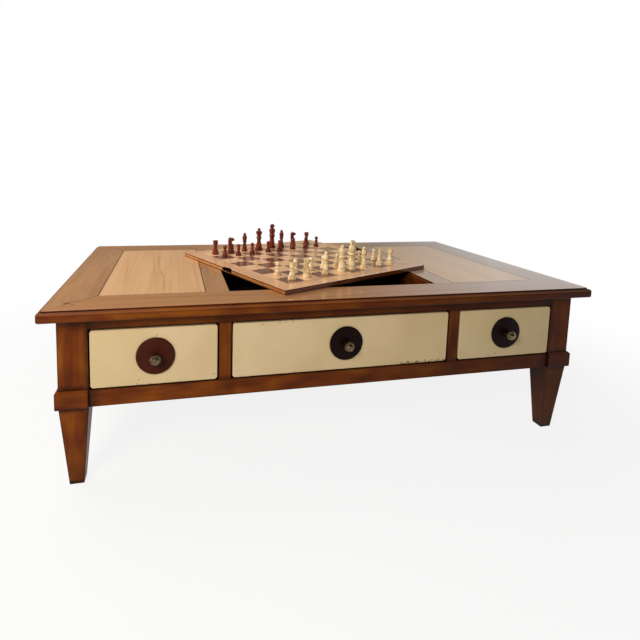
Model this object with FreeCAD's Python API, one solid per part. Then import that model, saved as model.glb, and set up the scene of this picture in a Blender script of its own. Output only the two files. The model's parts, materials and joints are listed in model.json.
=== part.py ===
import FreeCAD
import Part

import math
import os

# A low table with three drawers, a storage well and a lift-out chess board with its chessmen.
#
# Millimetres. +X runs along the table's length, to the right as one faces the drawers, +Y to the
# back and +Z up. The origin is on the floor under the middle of the top.

# Table
table_length = 1212.0
table_depth = 680.0
table_height = 368.0
top_thickness = 22.0
end_overhang = 28.0          # top past the posts at each end
face_overhang = 31.0         # top past the posts at the front and the back

# Edge moulding of the top: a thin upper step, a quirk, a round and a straight face
edge_step_height = 3.2
edge_step_inset = 7.0
edge_step_arris = 1.2
edge_round = 5.5
edge_underside_round = 3.5
edge_plan_round = 6.0

# Framing of the top
end_member_width = 92.0
long_member_width = 94.0
cross_rail_width = 50.0
well_opening = 492.0         # clear length between the cross rails
panel_thickness = 14.0
panel_ledge = 8.0            # rebate that carries the panels
panel_gap = 0.6              # open line round a panel

# Legs
post_width = 55.0
foot_width = 27.0
foot_arris = 3.0
collar_proud = 6.0
collar_height = 37.0
collar_chamfer = 4.0
collar_round = 2.5

# Rails and aprons
carcass_underside = 166.0
bottom_rail_height = 34.0
top_rail_height = 24.5
rail_thickness = 22.0
apron_thickness = 20.0
apron_setback = 3.0
divider_width = 25.0
divider_half_span = 248.5    # middle of the table to a divider's near face
tenon_shoulder = 5.0
tenon_length = 20.0
stub_tenon = 12.0
tenon_end_gap = 1.0

# Well under the board
well_depth = 46.0
well_wall = 16.0
well_floor_thickness = 6.0
well_floor_housing = 6.0
well_wall_lip = 4.0          # wall below the floor's groove
bearer_width = 12.0
bearer_height = 10.0

# Drawers
drawer_gap = 3.0             # open line round a drawer front
drawer_proud = 1.0
drawer_back_space = 36.0     # back of a drawer to the back apron
drawer_front_thickness = 20.0
drawer_front_arris = 2.0
drawer_front_corner = 6.0
drawer_board = 12.0          # sides and back
drawer_side_drop = 15.5      # top of a side below the top of its front
drawer_bottom_thickness = 6.0
drawer_bottom_rise = 7.0     # bottom above the lower edge of the sides
drawer_groove = 5.0
dovetail_count = 3
dovetail_length = 13.0
dovetail_neck = 15.0
dovetail_flare = 3.0
runner_width = 20.0
runner_height = 18.0
runner_guide_height = 44.0
kicker_clearance = 2.0
stop_length = 16.0
stop_height = 12.0

# Drawer pulls
rosette_radius = 37.3
rosette_rim = 3.0
rosette_crown = 5.5
rosette_middle_height = 261.5
knob_ball_radius = 11.8
knob_reach = 29.8            # drawer face to the front of the ball
knob_neck_radius = 4.0
knob_collar_radius = 7.0
knob_collar_height = 1.3
stud_radius = 2.5
stud_depth = 14.0
stud_clearance = 0.1

# Fixings under the top
block_height = 34.0
screw_radius = 2.0
screw_head_radius = 4.0
screw_head_height = 2.4
screw_bite = 14.0
screw_clearance = 0.1

# Chess board
square = 50.0
board_border = 40.0
board_thickness = 11.0
inlay_thickness = 2.0
board_turn = 24.2            # degrees that the board lies turned across the opening
board_middle_x = -14.5
board_middle_y = 22.5
notch_length = 46.0
notch_depth = 8.0
notch_lip = 2.5              # wood left under a finger notch

# Chessmen: height, and radius of the foot
pawn_height = 33.5
pawn_foot = 8.6
rook_height = 40.0
rook_foot = 10.0
knight_height = 47.0
knight_foot = 10.0
bishop_height = 55.5
bishop_foot = 9.2
queen_height = 67.0
queen_foot = 11.3
king_height = 76.0
king_foot = 11.4

# Where the men stand along their rows, in squares from the left. They were set down by hand, so
# few are quite in the middle of a square, and one knight is turned away.
light_places = {"pawn": (0, 1.1, 2.1, 2.95, 3.9, 4.85, 5.65, 6.8), "rook": (0.1, 7),
                "knight": (1, 6.15), "bishop": (2.2, 4.9), "queen": (3.3,), "king": (4,)}
dark_places = {"pawn": (0.05, 0.95, 1.9, 3.05, 3.9, 4.95, 6, 6.9), "rook": (0, 6.9),
               "knight": (1.05, 5.75), "bishop": (2, 4.8), "queen": (3.05,), "king": (4.05,)}
turned_knight = 44.0         # degrees

# Planes and lines that several pieces share
half_length = table_length / 2
half_depth = table_depth / 2
under_top = table_height - top_thickness
post_outer_x = half_length - end_overhang
post_outer_y = half_depth - face_overhang
post_inner_x = post_outer_x - post_width
post_inner_y = post_outer_y - post_width
panel_x = half_length - end_member_width
panel_y = half_depth - long_member_width
half_opening = well_opening / 2
panel_inner_x = half_opening + cross_rail_width
bottom_rail_top = carcass_underside + bottom_rail_height
top_rail_underside = under_top - top_rail_height
rail_back = -post_outer_y + rail_thickness
back_apron_y = post_outer_y - apron_setback - apron_thickness
side_apron_x = post_outer_x - apron_setback - apron_thickness
divider_outer = divider_half_span + divider_width
well_floor_top = table_height - well_depth
well_wall_bottom = well_floor_top - well_floor_thickness - well_wall_lip
front_bottom = bottom_rail_top + drawer_gap
front_top = top_rail_underside - drawer_gap
drawer_face = -post_outer_y - drawer_proud
drawer_joint = drawer_face + drawer_front_thickness
drawer_end = back_apron_y - drawer_back_space
side_bottom = front_bottom + 1.0
side_top = front_top - drawer_side_drop
kicker_bottom = side_top + kicker_clearance

X_AXIS = FreeCAD.Vector(1, 0, 0)
Y_AXIS = FreeCAD.Vector(0, 1, 0)
Z_AXIS = FreeCAD.Vector(0, 0, 1)
ORIGIN = FreeCAD.Vector(0, 0, 0)


def block(x, y, z):
    """A box between a low and a high value on each axis."""
    size = [high - low for low, high in (x, y, z)]
    return Part.makeBox(*size, FreeCAD.Vector(x[0], y[0], z[0]))


def prism(outline, low, high):
    """An upright prism on a plan outline of (x, y) points."""
    corners = [FreeCAD.Vector(x, y, low) for x, y in outline]
    face = Part.Face(Part.makePolygon(corners + corners[:1]))
    return face.extrude(Z_AXIS * (high - low))


def side_to_side(shape):
    """The shape and its mirror image across the table's middle, left one first."""
    return [shape.mirror(ORIGIN, X_AXIS), shape]


def front_to_back(shape):
    return [shape.mirror(ORIGIN, Y_AXIS), shape]


def edges_where(shape, test):
    """Edges whose two ends both pass a test on the point."""
    return [e for e in shape.Edges if all(test(v.Point) for v in e.Vertexes)]


def near(a, b):
    return abs(a - b) < 0.01


def tenoned(x, y, z, axis, tenon):
    """A rail between two ends, with a shouldered tenon past each end along one axis (0, 1 or 2)."""
    spans = [(low + tenon_shoulder, high - tenon_shoulder) for low, high in (x, y, z)]
    low, high = (x, y, z)[axis]
    spans[axis] = (low - tenon, high + tenon)
    return block(x, y, z).fuse(block(*spans)).removeSplitter()


def turned(outline, axis=Z_AXIS):
    """A turning about an axis. A point is (radius, height), or an arc's (mid, mid, radius, height)."""
    def at(radius, height):
        return X_AXIS * radius + axis * height
    edges = []
    here = at(*outline[0])
    for step in outline[1:]:
        there = at(*step[-2:])
        if len(step) == 4:
            edges.append(Part.Arc(here, at(*step[:2]), there).toShape())
        else:
            edges.append(Part.makeLine(here, there))
        here = there
    edges.append(Part.makeLine(here, at(*outline[0])))
    return Part.Face(Part.Wire(edges)).revolve(ORIGIN, axis, 360)


# --- Rails, aprons and dividers -------------------------------------------------------------------

def front_rail(low, high, tenon):
    return tenoned((-post_inner_x, post_inner_x), (-post_outer_y, rail_back), (low, high), 0, tenon)


def bottom_rail(tenon=tenon_length):
    return front_rail(carcass_underside, bottom_rail_top, tenon)


def top_rail(tenon=tenon_length):
    return front_rail(top_rail_underside, under_top, tenon)


def back_apron(tenon=tenon_length):
    y = (back_apron_y, back_apron_y + apron_thickness)
    return tenoned((-post_inner_x, post_inner_x), y, (carcass_underside, under_top), 0, tenon)


def side_apron(tenon=tenon_length):
    x = (side_apron_x, side_apron_x + apron_thickness)
    return tenoned(x, (-post_inner_y, post_inner_y), (carcass_underside, under_top), 1, tenon)


def divider(tenon=stub_tenon):
    x = (divider_half_span, divider_outer)
    z = (bottom_rail_top, top_rail_underside)
    return tenoned(x, (-post_outer_y, rail_back), z, 2, tenon)


def partition():
    """Upright board behind a divider. It carries the runners, the kickers and the well."""
    x = (divider_half_span, divider_outer)
    return block(x, (rail_back, back_apron_y), (carcass_underside, well_wall_bottom))


# --- Legs -----------------------------------------------------------------------------------------

def square_wire(middle_x, middle_y, width, height):
    half = width / 2
    corners = [(-half, -half), (half, -half), (half, half), (-half, half), (-half, -half)]
    points = [FreeCAD.Vector(middle_x + x, middle_y + y, height) for x, y in corners]
    return Part.makePolygon(points)


def leg():
    """Square post at the back right, tapered on four sides below the carcass."""
    middle_x = post_outer_x - post_width / 2
    middle_y = post_outer_y - post_width / 2
    post = block((post_inner_x, post_outer_x), (post_inner_y, post_outer_y),
                 (carcass_underside, under_top))
    taper = Part.makeLoft([square_wire(middle_x, middle_y, foot_width, 0),
                           square_wire(middle_x, middle_y, post_width, carcass_underside)], True, True)
    taper = taper.makeFillet(foot_arris, edges_where(taper, lambda p: near(p.z, 0)))
    return taper.fuse(post).removeSplitter()


def mortised_legs():
    """The four legs by name, each cut for the tenons that enter it."""
    deep = tenon_length + tenon_end_gap
    entering = [bottom_rail(deep), top_rail(deep), back_apron(deep)] + side_to_side(side_apron(deep))
    legs = {}
    for side, half in zip(("left", "right"), side_to_side(leg())):
        for end, whole in zip(("front", "back"), front_to_back(half)):
            legs["leg_" + end + "_" + side] = whole.cut(entering)
    return legs


def collar():
    """Mitred band round the two outer faces of the back right leg, level with the bottom rail."""
    outer_x = post_outer_x + collar_proud
    outer_y = post_outer_y + collar_proud
    top = carcass_underside + collar_height
    z = (carcass_underside, top)

    def outer_edges(band, height):
        level = edges_where(band, lambda p: near(p.z, height))
        return [e for e in level if near(e.CenterOfMass.x, outer_x) or near(e.CenterOfMass.y, outer_y)]

    band = block((post_inner_x, outer_x), (post_inner_y, outer_y), z)
    band = band.makeChamfer(collar_chamfer, outer_edges(band, top))
    band = band.makeFillet(collar_round, outer_edges(band, carcass_underside))
    band = band.cut(block((post_inner_x, post_outer_x), (post_inner_y, post_outer_y), z))
    corner = (post_outer_x, post_outer_y)
    mitre_end = (post_outer_x + post_width, post_outer_y + post_width)
    end_side = [corner, (post_outer_x, post_inner_y), (mitre_end[0], post_inner_y), mitre_end]
    face_side = [corner, mitre_end, (post_inner_x, mitre_end[1]), (post_inner_x, post_outer_y)]
    return [band.common(prism(side, *z)) for side in (end_side, face_side)]


def collars():
    strips = []
    for strip in collar():
        for half in side_to_side(strip):
            strips += front_to_back(half)
    return Part.makeCompound(strips)


# --- Top ------------------------------------------------------------------------------------------

def rounded_plate(inset, low, high, corner):
    x = half_length - inset
    y = half_depth - inset
    plate = block((-x, x), (-y, y), (low, high))
    return plate.makeFillet(corner, [e for e in plate.Edges if near(e.Length, high - low)])


def rounded_rim(plate, height, radius):
    return plate.makeFillet(radius, edges_where(plate, lambda p: near(p.z, height)))


def moulded_slab():
    """The whole top as one slab with its edge moulding, before it is divided into members."""
    quirk = table_height - edge_step_height
    lower = rounded_plate(0, under_top, quirk, edge_plan_round)
    lower = rounded_rim(lower, quirk, edge_round)
    lower = rounded_rim(lower, under_top, edge_underside_round)
    upper = rounded_plate(edge_step_inset, quirk - edge_round / 2, table_height, edge_plan_round)
    upper = rounded_rim(upper, table_height, edge_step_arris)
    return lower.fuse(upper).removeSplitter()


def cross_rail(tongue=stub_tenon):
    """Right cross rail, between the long members, with the ledge that carries a panel."""
    z = (under_top, table_height)
    rail = tenoned((half_opening, panel_inner_x), (-panel_y, panel_y), z, 1, tongue)
    ledge_y = panel_y - panel_ledge
    ledge = block((panel_inner_x, panel_inner_x + panel_ledge), (-ledge_y, ledge_y),
                  (under_top, table_height - panel_thickness))
    return rail.fuse(ledge).removeSplitter()


def long_member():
    """Back member: mitred ends, ledges under both panels, grooves for the cross rails."""
    outline = [(-half_length, half_depth), (half_length, half_depth),
               (panel_x, panel_y), (-panel_x, panel_y)]
    member = moulded_slab().common(prism(outline, under_top, table_height))
    ledge = block((panel_inner_x, panel_x), (panel_y - panel_ledge, panel_y),
                  (under_top, table_height - panel_thickness))
    member = member.fuse(side_to_side(ledge)).removeSplitter()
    return member.cut(side_to_side(cross_rail(stub_tenon + tenon_end_gap)))


def end_member():
    """Right member: mitred ends and the ledge under the panel's outer edge."""
    outline = [(half_length, -half_depth), (half_length, half_depth),
               (panel_x, panel_y), (panel_x, -panel_y)]
    member = moulded_slab().common(prism(outline, under_top, table_height))
    ledge_y = panel_y - panel_ledge
    ledge = block((panel_x - panel_ledge, panel_x), (-ledge_y, ledge_y),
                  (under_top, table_height - panel_thickness))
    return member.fuse(ledge).removeSplitter()


def inset_panel():
    return block((panel_inner_x + panel_gap, panel_x - panel_gap),
                 (-panel_y + panel_gap, panel_y - panel_gap),
                 (table_height - panel_thickness, table_height))


# --- Well under the board -------------------------------------------------------------------------

def well_floor():
    reach_x = half_opening + well_floor_housing
    reach_y = panel_y + well_floor_housing
    return block((-reach_x, reach_x), (-reach_y, reach_y),
                 (well_floor_top - well_floor_thickness, well_floor_top))


def well_walls():
    z = (well_wall_bottom, under_top)
    outer = half_opening + well_wall
    long_wall = block((-outer, outer), (panel_y, panel_y + well_wall), z)
    end_wall = block((half_opening, outer), (-panel_y, panel_y), z)
    walls = front_to_back(long_wall) + side_to_side(end_wall)
    return Part.makeCompound([wall.cut(well_floor()) for wall in walls])


def board_bearers():
    """Strips on the long members' inner faces. The board seats on them, flush with the top."""
    seat = table_height - board_thickness
    bearer = block((-half_opening, half_opening), (panel_y - bearer_width, panel_y),
                   (seat - bearer_height, seat))
    return Part.makeCompound(front_to_back(bearer))


# --- Runners, kickers and stops -------------------------------------------------------------------

def outer_strip(low, high, guide_high):
    """Strip for the outer side of the right drawer, on a deeper part that fits between the posts."""
    strip = block((post_inner_x - runner_width, post_inner_x), (rail_back, back_apron_y), (low, high))
    guide = block((post_inner_x, side_apron_x), (-post_inner_y, post_inner_y), (low, guide_high))
    return strip.fuse(guide).removeSplitter()


def inner_strips(low, high):
    """Strips on both faces of the right partition."""
    y = (rail_back, back_apron_y)
    return [block((divider_half_span - runner_width, divider_half_span), y, (low, high)),
            block((divider_outer, divider_outer + runner_width), y, (low, high))]


def drawer_runners():
    low = side_bottom - runner_height
    strips = [outer_strip(low, side_bottom, low + runner_guide_height)]
    strips += inner_strips(low, side_bottom)
    return Part.makeCompound([half for strip in strips for half in side_to_side(strip)])


def drawer_kickers():
    """Strips just above the drawer sides, which keep an open drawer from tipping."""
    strips = [outer_strip(kicker_bottom, well_wall_bottom, well_wall_bottom)]
    strips += inner_strips(kicker_bottom, well_wall_bottom)
    return Part.makeCompound([half for strip in strips for half in side_to_side(strip)])


def drawer_stops():
    """Blocks on the runners, behind the drawer sides."""
    y = (drawer_end, drawer_end + stop_length)
    z = (side_bottom, side_bottom + stop_height)
    lows = [divider_half_span - runner_width, divider_outer, post_inner_x - runner_width]
    blocks = [block((low, low + runner_width), y, z) for low in lows]
    return Part.makeCompound([half for stop in blocks for half in side_to_side(stop)])


# --- Fixings under the top ------------------------------------------------------------------------

def screw(clearance=0.0):
    """Wood screw up through the back right corner block into the top."""
    x = side_apron_x - (side_apron_x - post_inner_x) / 3
    y = post_inner_y - (side_apron_x - post_inner_x) / 3
    shank = screw_radius + clearance
    head = screw_head_radius + clearance
    base = under_top - block_height
    outline = [(0, 0), (head, 0), (head, screw_head_height / 3), (shank, screw_head_height),
               (shank, block_height + screw_bite + clearance), (0, block_height + screw_bite + clearance)]
    return turned(outline).translate(FreeCAD.Vector(x, y, base))


def corner_block():
    """Glue block in the angle of the back right post and the side apron."""
    outline = [(post_inner_x, post_inner_y), (side_apron_x, post_inner_y),
               (side_apron_x, post_inner_y - (side_apron_x - post_inner_x))]
    return prism(outline, under_top - block_height, under_top).cut(screw(screw_clearance))


def at_four_corners(shape):
    return [whole for half in side_to_side(shape) for whole in front_to_back(half)]


# --- Drawers --------------------------------------------------------------------------------------

def dovetails(x, grow=0.0):
    """Tails on the front end of a drawer side that spans x."""
    spacing = (side_top - side_bottom) / dovetail_count
    tails = []
    for index in range(dovetail_count):
        middle = side_bottom + spacing * (index + 0.5)
        neck = dovetail_neck / 2
        wide = neck + dovetail_flare
        corners = [(drawer_joint + grow, middle - neck), (drawer_joint + grow, middle + neck),
                   (drawer_joint - dovetail_length, middle + wide),
                   (drawer_joint - dovetail_length, middle - wide)]
        points = [FreeCAD.Vector(x[0], y, z) for y, z in corners]
        face = Part.Face(Part.makePolygon(points + points[:1]))
        tails.append(face.extrude(X_AXIS * (x[1] - x[0])))
    return tails


def drawer(name, low, high):
    """The wooden pieces of a drawer whose front spans low to high along X."""
    left = (low, low + drawer_board)
    right = (high - drawer_board, high)
    bottom_z = (side_bottom + drawer_bottom_rise,
                side_bottom + drawer_bottom_rise + drawer_bottom_thickness)
    bottom = block((left[1] - drawer_groove, right[0] + drawer_groove),
                   (drawer_joint - drawer_groove, drawer_end), bottom_z)
    front = block((low, high), (drawer_face, drawer_joint), (front_bottom, front_top))
    corners = [e for e in front.Edges if near(e.Length, drawer_front_thickness)]
    front = front.makeFillet(drawer_front_corner, corners)
    rim = edges_where(front, lambda p: near(p.y, drawer_face))
    front = front.makeFillet(drawer_front_arris, rim)
    front = front.cut(dovetails(left) + dovetails(right) + [bottom, stud_hole(low, high)])
    back = block((left[1] - drawer_groove, right[0] + drawer_groove),
                 (drawer_end - drawer_board, drawer_end), (bottom_z[1], side_top))
    sides = []
    for x in (left, right):
        side = block(x, (drawer_joint, drawer_end), (side_bottom, side_top))
        side = side.fuse(dovetails(x)).removeSplitter()
        sides.append(side.cut([bottom, back]))
    return {name + "_drawer_front": front, name + "_drawer_sides": Part.makeCompound(sides),
            name + "_drawer_back": back, name + "_drawer_bottom": bottom}


def pull_place(low, high):
    return FreeCAD.Vector((low + high) / 2, drawer_face, rosette_middle_height)


def stud_hole(low, high):
    radius = stud_radius + stud_clearance
    hole = Part.makeCylinder(radius, stud_depth + 1, ORIGIN, Y_AXIS)
    return hole.translate(pull_place(low, high))


def pull(name, low, high):
    """Turned wooden rosette and the brass knob whose stud holds it to the front."""
    outward = Y_AXIS * -1
    rosette = turned([(stud_radius + stud_clearance, 0), (rosette_radius, 0),
                      (rosette_radius, rosette_rim), (knob_collar_radius + 1, rosette_crown),
                      (stud_radius + stud_clearance, rosette_crown)], outward)
    ball_middle = knob_reach - knob_ball_radius
    neck_top = ball_middle - math.sqrt(knob_ball_radius ** 2 - knob_neck_radius ** 2)
    knob = turned([(0, -stud_depth), (stud_radius, -stud_depth), (stud_radius, rosette_crown),
                   (knob_collar_radius, rosette_crown),
                   (knob_collar_radius, rosette_crown + knob_collar_height),
                   (knob_neck_radius, rosette_crown + knob_collar_height),
                   (knob_neck_radius, neck_top),
                   (knob_ball_radius, ball_middle, 0, knob_reach)], outward)
    place = pull_place(low, high)
    return {name + "_rosette": rosette.translate(place), name + "_knob": knob.translate(place)}


# --- Chess board ----------------------------------------------------------------------------------

half_field = 4 * square
half_board = half_field + board_border


def laid(shape, rise=0.0):
    """Moves a shape from the board's own frame to where the board lies on the table."""
    shape = shape.copy()
    shape.rotate(ORIGIN, Z_AXIS, board_turn)
    shape.translate(FreeCAD.Vector(board_middle_x, board_middle_y, table_height + rise))
    return shape


def finger_notches():
    """Segment-shaped scoops in the middle of two opposite edges, with a lip left below."""
    radius = ((notch_length / 2) ** 2 + notch_depth ** 2) / (2 * notch_depth)
    middle = half_board + radius - notch_depth
    scoop = Part.makeCylinder(radius, board_thickness - notch_lip, FreeCAD.Vector(middle, 0, notch_lip))
    return side_to_side(scoop)


def board_core():
    """The panel's core, which the squares are glued to and the border is tongued round."""
    return block((-half_field, half_field), (-half_field, half_field),
                 (0, board_thickness - inlay_thickness))


def board_edging():
    """Four mitred lengths of border."""
    outline = [(half_board, -half_board), (half_board, half_board),
               (half_field, half_field), (half_field, -half_field)]
    strips = []
    for turn in (0, 90, 180, 270):
        strip = prism(outline, 0, board_thickness)
        strip.rotate(ORIGIN, Z_AXIS, turn)
        strips.append(strip.cut(finger_notches()))
    return strips


def squares(dark):
    """Every other square of the field. The corner nearest the front left is a dark one."""
    z = (board_thickness - inlay_thickness, board_thickness)
    tiles = []
    for column in range(8):
        for row in range(8):
            if ((column + row) % 2 == 0) == dark:
                x = square * column - half_field
                y = square * row - half_field
                tiles.append(block((x, x + square), (y, y + square), z))
    return tiles


# --- Chessmen -------------------------------------------------------------------------------------

def base(foot, waist, waist_height):
    """Outline of a turned foot: a thick rounded plinth, a bead, and a bell hollowed up to the waist."""
    plinth = foot * 0.46
    bead = foot * 0.78
    dome = bead + (waist_height - bead) * 0.50
    shoulder = waist + (foot - waist) * 0.36
    return [(0, 0), (foot * 0.96, 0), (foot, plinth / 2, foot * 0.95, plinth), (foot * 0.87, plinth),
            (foot * 0.93, (plinth + bead) / 2, foot * 0.85, bead), (foot * 0.79, bead),
            (foot * 0.42 + shoulder / 2, (bead + dome) / 2, shoulder, dome),
            (waist + (shoulder - waist) * 0.25, (dome + waist_height) / 2, waist, waist_height)]


def ring(radius, neck, height, thickness):
    """Outline of a turned collar with a rounded edge, and back in to the neck above it."""
    return [(radius * 0.92, height),
            (radius, height + thickness * 0.40, radius * 0.84, height + thickness * 0.85),
            (neck, height + thickness)]


def ball(radius, neck, top):
    """Outline of a ball on a neck of the given radius, up to the middle of its top."""
    middle = top - radius
    return [(neck, middle - math.sqrt(radius ** 2 - neck ** 2)), (radius, middle, 0, top)]


def pawn():
    head = pawn_foot * 0.64
    neck = head * 0.62
    outline = base(pawn_foot, pawn_foot * 0.42, pawn_height * 0.50)
    outline += ring(pawn_foot * 0.68, neck, pawn_height * 0.53, pawn_height * 0.085)
    return turned(outline + ball(head, neck, pawn_height))


def rook():
    tower = rook_foot * 0.70
    neck = rook_foot * 0.44
    hollow = rook_height * 0.89
    outline = base(rook_foot, rook_foot * 0.46, rook_height * 0.50)
    outline += ring(rook_foot * 0.64, neck, rook_height * 0.53, rook_height * 0.065)
    outline += [(neck, rook_height * 0.65), (tower * 0.96, rook_height * 0.72),
                (tower * 1.04, rook_height), (tower * 0.66, rook_height),
                (tower * 0.66, hollow), (0, hollow)]
    slot = rook_foot * 0.12
    reach = tower * 1.1
    slots = [block((-reach, reach), (-slot, slot), (hollow, rook_height + slot)),
             block((-slot, slot), (-reach, reach), (hollow, rook_height + slot))]
    return turned(outline).cut(slots)


def knight():
    """A turned foot under a horse's head that looks along +X, cut to a side and a front outline."""
    h = knight_height

    def side(x, z):
        return FreeCAD.Vector(x * h, 0, z * h)
    chest = Part.Arc(side(0.150, 0.25), side(0.190, 0.39), side(0.110, 0.52)).toShape()
    throat = Part.Arc(side(0.110, 0.52), side(0.045, 0.60), side(0.085, 0.68)).toShape()
    jaw = Part.makeLine(side(0.085, 0.68), side(0.165, 0.690))
    nose = Part.Arc(side(0.165, 0.690), side(0.228, 0.79), side(0.180, 0.90)).toShape()
    brow_and_ears = Part.makePolygon([side(0.180, 0.90), side(0.045, 0.955), side(-0.015, 0.945),
                                      side(-0.075, 1.0), side(-0.165, 0.95)])
    mane = Part.Arc(side(-0.165, 0.95), side(-0.190, 0.62), side(-0.150, 0.25)).toShape()
    breast = Part.makeLine(side(-0.150, 0.25), side(0.150, 0.25))
    head = Part.Face(Part.Wire([chest, throat, jaw, nose, *brow_and_ears.Edges, mane, breast]))
    head = head.extrude(Y_AXIS * h).translate(Y_AXIS * (-h / 2))
    front = [(-0.14, 0.25), (0.14, 0.25), (0.115, 0.58), (0.085, 1.0), (-0.085, 1.0), (-0.115, 0.58)]
    front = [FreeCAD.Vector(0, y * h, z * h) for y, z in front]
    taper = Part.Face(Part.makePolygon(front + front[:1]))
    taper = taper.extrude(X_AXIS * h).translate(X_AXIS * (-h / 2))
    seat = h * 0.27
    foot = turned(base(knight_foot, knight_foot * 0.70, h * 0.21)
                  + ring(knight_foot * 0.82, knight_foot * 0.74, h * 0.215, h * 0.05) + [(0, seat)])
    return foot.fuse(head.common(taper)).removeSplitter()


def bishop():
    h = bishop_height
    neck = bishop_foot * 0.52
    chin = h * 0.605
    finial = ball(bishop_foot * 0.48, bishop_foot * 0.42, h)
    tip = finial[0][1]
    outline = base(bishop_foot, bishop_foot * 0.47, h * 0.48)
    outline += ring(bishop_foot * 0.74, neck, h * 0.50, h * 0.06)
    outline += ring(bishop_foot * 0.62, neck, h * 0.565, h * 0.03)
    outline += [(bishop_foot * 0.56, chin), (bishop_foot * 0.75, chin + (tip - chin) * 0.40, *finial[0]),
                finial[1]]
    slit = block((0, bishop_foot), (-bishop_foot, bishop_foot), (0, h * 0.02))
    slit.rotate(ORIGIN, Y_AXIS, -50)
    return turned(outline).cut(slit.translate(Z_AXIS * (chin + (tip - chin) * 0.3)))


def crowned(h, foot, neck, collar, rim):
    """Outline of a queen or king up to the rim of the crown, over a thin and a thick collar. The neck
    is given as a part of the foot's radius, the thick collar and the rim as parts of the height h."""
    throat = foot * neck
    outline = base(foot, throat, h * (collar - 0.075))
    outline += ring(foot * (neck + 0.14), throat, h * (collar - 0.055), h * 0.035)
    outline += ring(foot * (neck + 0.25), foot * (neck + 0.05), h * collar, h * 0.08)
    band = foot * 0.55
    return outline + [(foot * (neck + 0.10), h * (collar + 0.095)),
                      (foot * (neck + 0.16), h * (collar + 0.095 + rim) / 2 - band * 0.3,
                       foot * 0.80, h * rim - band),
                      (foot * 0.86, h * rim - band * 0.4), (foot * 0.80, h * rim)]


def queen():
    h = queen_height
    points_top = h * 0.84
    finial = ball(queen_foot * 0.40, queen_foot * 0.26, h)
    outline = crowned(h, queen_foot, 0.47, 0.52, 0.84)
    outline += [(queen_foot * 0.60, points_top),
                (queen_foot * 0.50, (points_top + finial[0][1]) / 2 + h * 0.006, *finial[0])]
    piece = turned(outline + finial[1:])
    notch = Part.makeCylinder(queen_foot * 0.13, queen_foot * 0.4,
                              FreeCAD.Vector(queen_foot * 0.60, 0, points_top), X_AXIS)
    notches = []
    for index in range(8):
        notches.append(notch.copy().rotate(ORIGIN, Z_AXIS, 45 * index))
    return piece.cut(notches)


def cross(reach, middle_height):
    """Upright cross with arms that widen outwards."""
    corners = []
    for turn in (0, 90, 180, 270):
        arm = FreeCAD.Placement(ORIGIN, FreeCAD.Rotation(Y_AXIS, -turn))
        for x, z in ((0.34, -0.34), (1.0, -0.60), (1.0, 0.60)):
            corners.append(arm.multVec(FreeCAD.Vector(x * reach, 0, z * reach)))
    thickness = reach * 0.90
    shape = Part.Face(Part.makePolygon(corners + corners[:1])).extrude(Y_AXIS * thickness)
    return shape.translate(FreeCAD.Vector(0, -thickness / 2, middle_height))


def king():
    h = king_height
    reach = king_foot * 0.58
    rim_top = h * 0.775
    dome = h - reach * 1.85
    outline = crowned(h, king_foot, 0.57, 0.50, 0.775)
    outline += [(king_foot * 0.66, rim_top),
                (king_foot * 0.62, (rim_top + dome) / 2 + h * 0.008, king_foot * 0.44, dome), (0, dome)]
    return turned(outline).fuse(cross(reach, h - reach)).removeSplitter()


def stand(piece, column, row, turn=0):
    piece = piece.copy().rotate(ORIGIN, Z_AXIS, turn)
    piece.translate(FreeCAD.Vector((column - 3.5) * square, (row - 3.5) * square, 0))
    return laid(piece, board_thickness)


def chess_set(colour, places, back_row, pawn_row, second_knight_turn=0):
    nodes = {}
    for kind, make in (("pawn", pawn), ("rook", rook), ("knight", knight), ("bishop", bishop),
                       ("queen", queen), ("king", king)):
        row = pawn_row if kind == "pawn" else back_row
        men = [stand(make(), column, row) for column in places[kind]]
        if kind == "knight":
            men[1] = stand(make(), places[kind][1], row, second_knight_turn)
        nodes[colour + "_" + kind + ("s" if len(men) > 1 else "")] = Part.makeCompound(men)
    return nodes


# --- The whole table ------------------------------------------------------------------------------

def carcass():
    deep = stub_tenon + tenon_end_gap
    pieces = mortised_legs()
    pieces["leg_collars"] = collars()
    pieces["front_top_rail"] = top_rail().cut(side_to_side(divider(deep)))
    pieces["front_bottom_rail"] = bottom_rail().cut(side_to_side(divider(deep)))
    pieces["drawer_dividers"] = Part.makeCompound(side_to_side(divider()))
    pieces["side_aprons"] = Part.makeCompound(side_to_side(side_apron()))
    pieces["back_apron"] = back_apron()
    pieces["partitions"] = Part.makeCompound(side_to_side(partition()))
    pieces["drawer_runners"] = drawer_runners()
    pieces["drawer_kickers"] = drawer_kickers()
    pieces["drawer_stops"] = drawer_stops()
    pieces["well_walls"] = well_walls()
    pieces["well_floor"] = well_floor()
    pieces["board_bearers"] = board_bearers()
    pieces["corner_blocks"] = Part.makeCompound(at_four_corners(corner_block()))
    pieces["top_screws"] = Part.makeCompound(at_four_corners(screw()))
    return pieces


def top():
    holes = at_four_corners(screw(screw_clearance))
    front, back = [member.cut(holes) for member in front_to_back(long_member())]
    left, right = [member.cut(holes) for member in side_to_side(end_member())]
    panel_left, panel_right = side_to_side(inset_panel())
    return {"top_member_front": front, "top_member_back": back,
            "top_member_left": left, "top_member_right": right,
            "top_cross_rails": Part.makeCompound(side_to_side(cross_rail())),
            "inset_panel_left": panel_left, "inset_panel_right": panel_right}


def drawers():
    outer = post_inner_x - drawer_gap
    inner = divider_outer + drawer_gap
    middle = divider_half_span - drawer_gap
    pieces = {}
    for name, low, high in (("left", -outer, -inner), ("middle", -middle, middle),
                            ("right", inner, outer)):
        pieces.update(drawer(name, low, high))
        pieces.update(pull(name, low, high))
    return pieces


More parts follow.
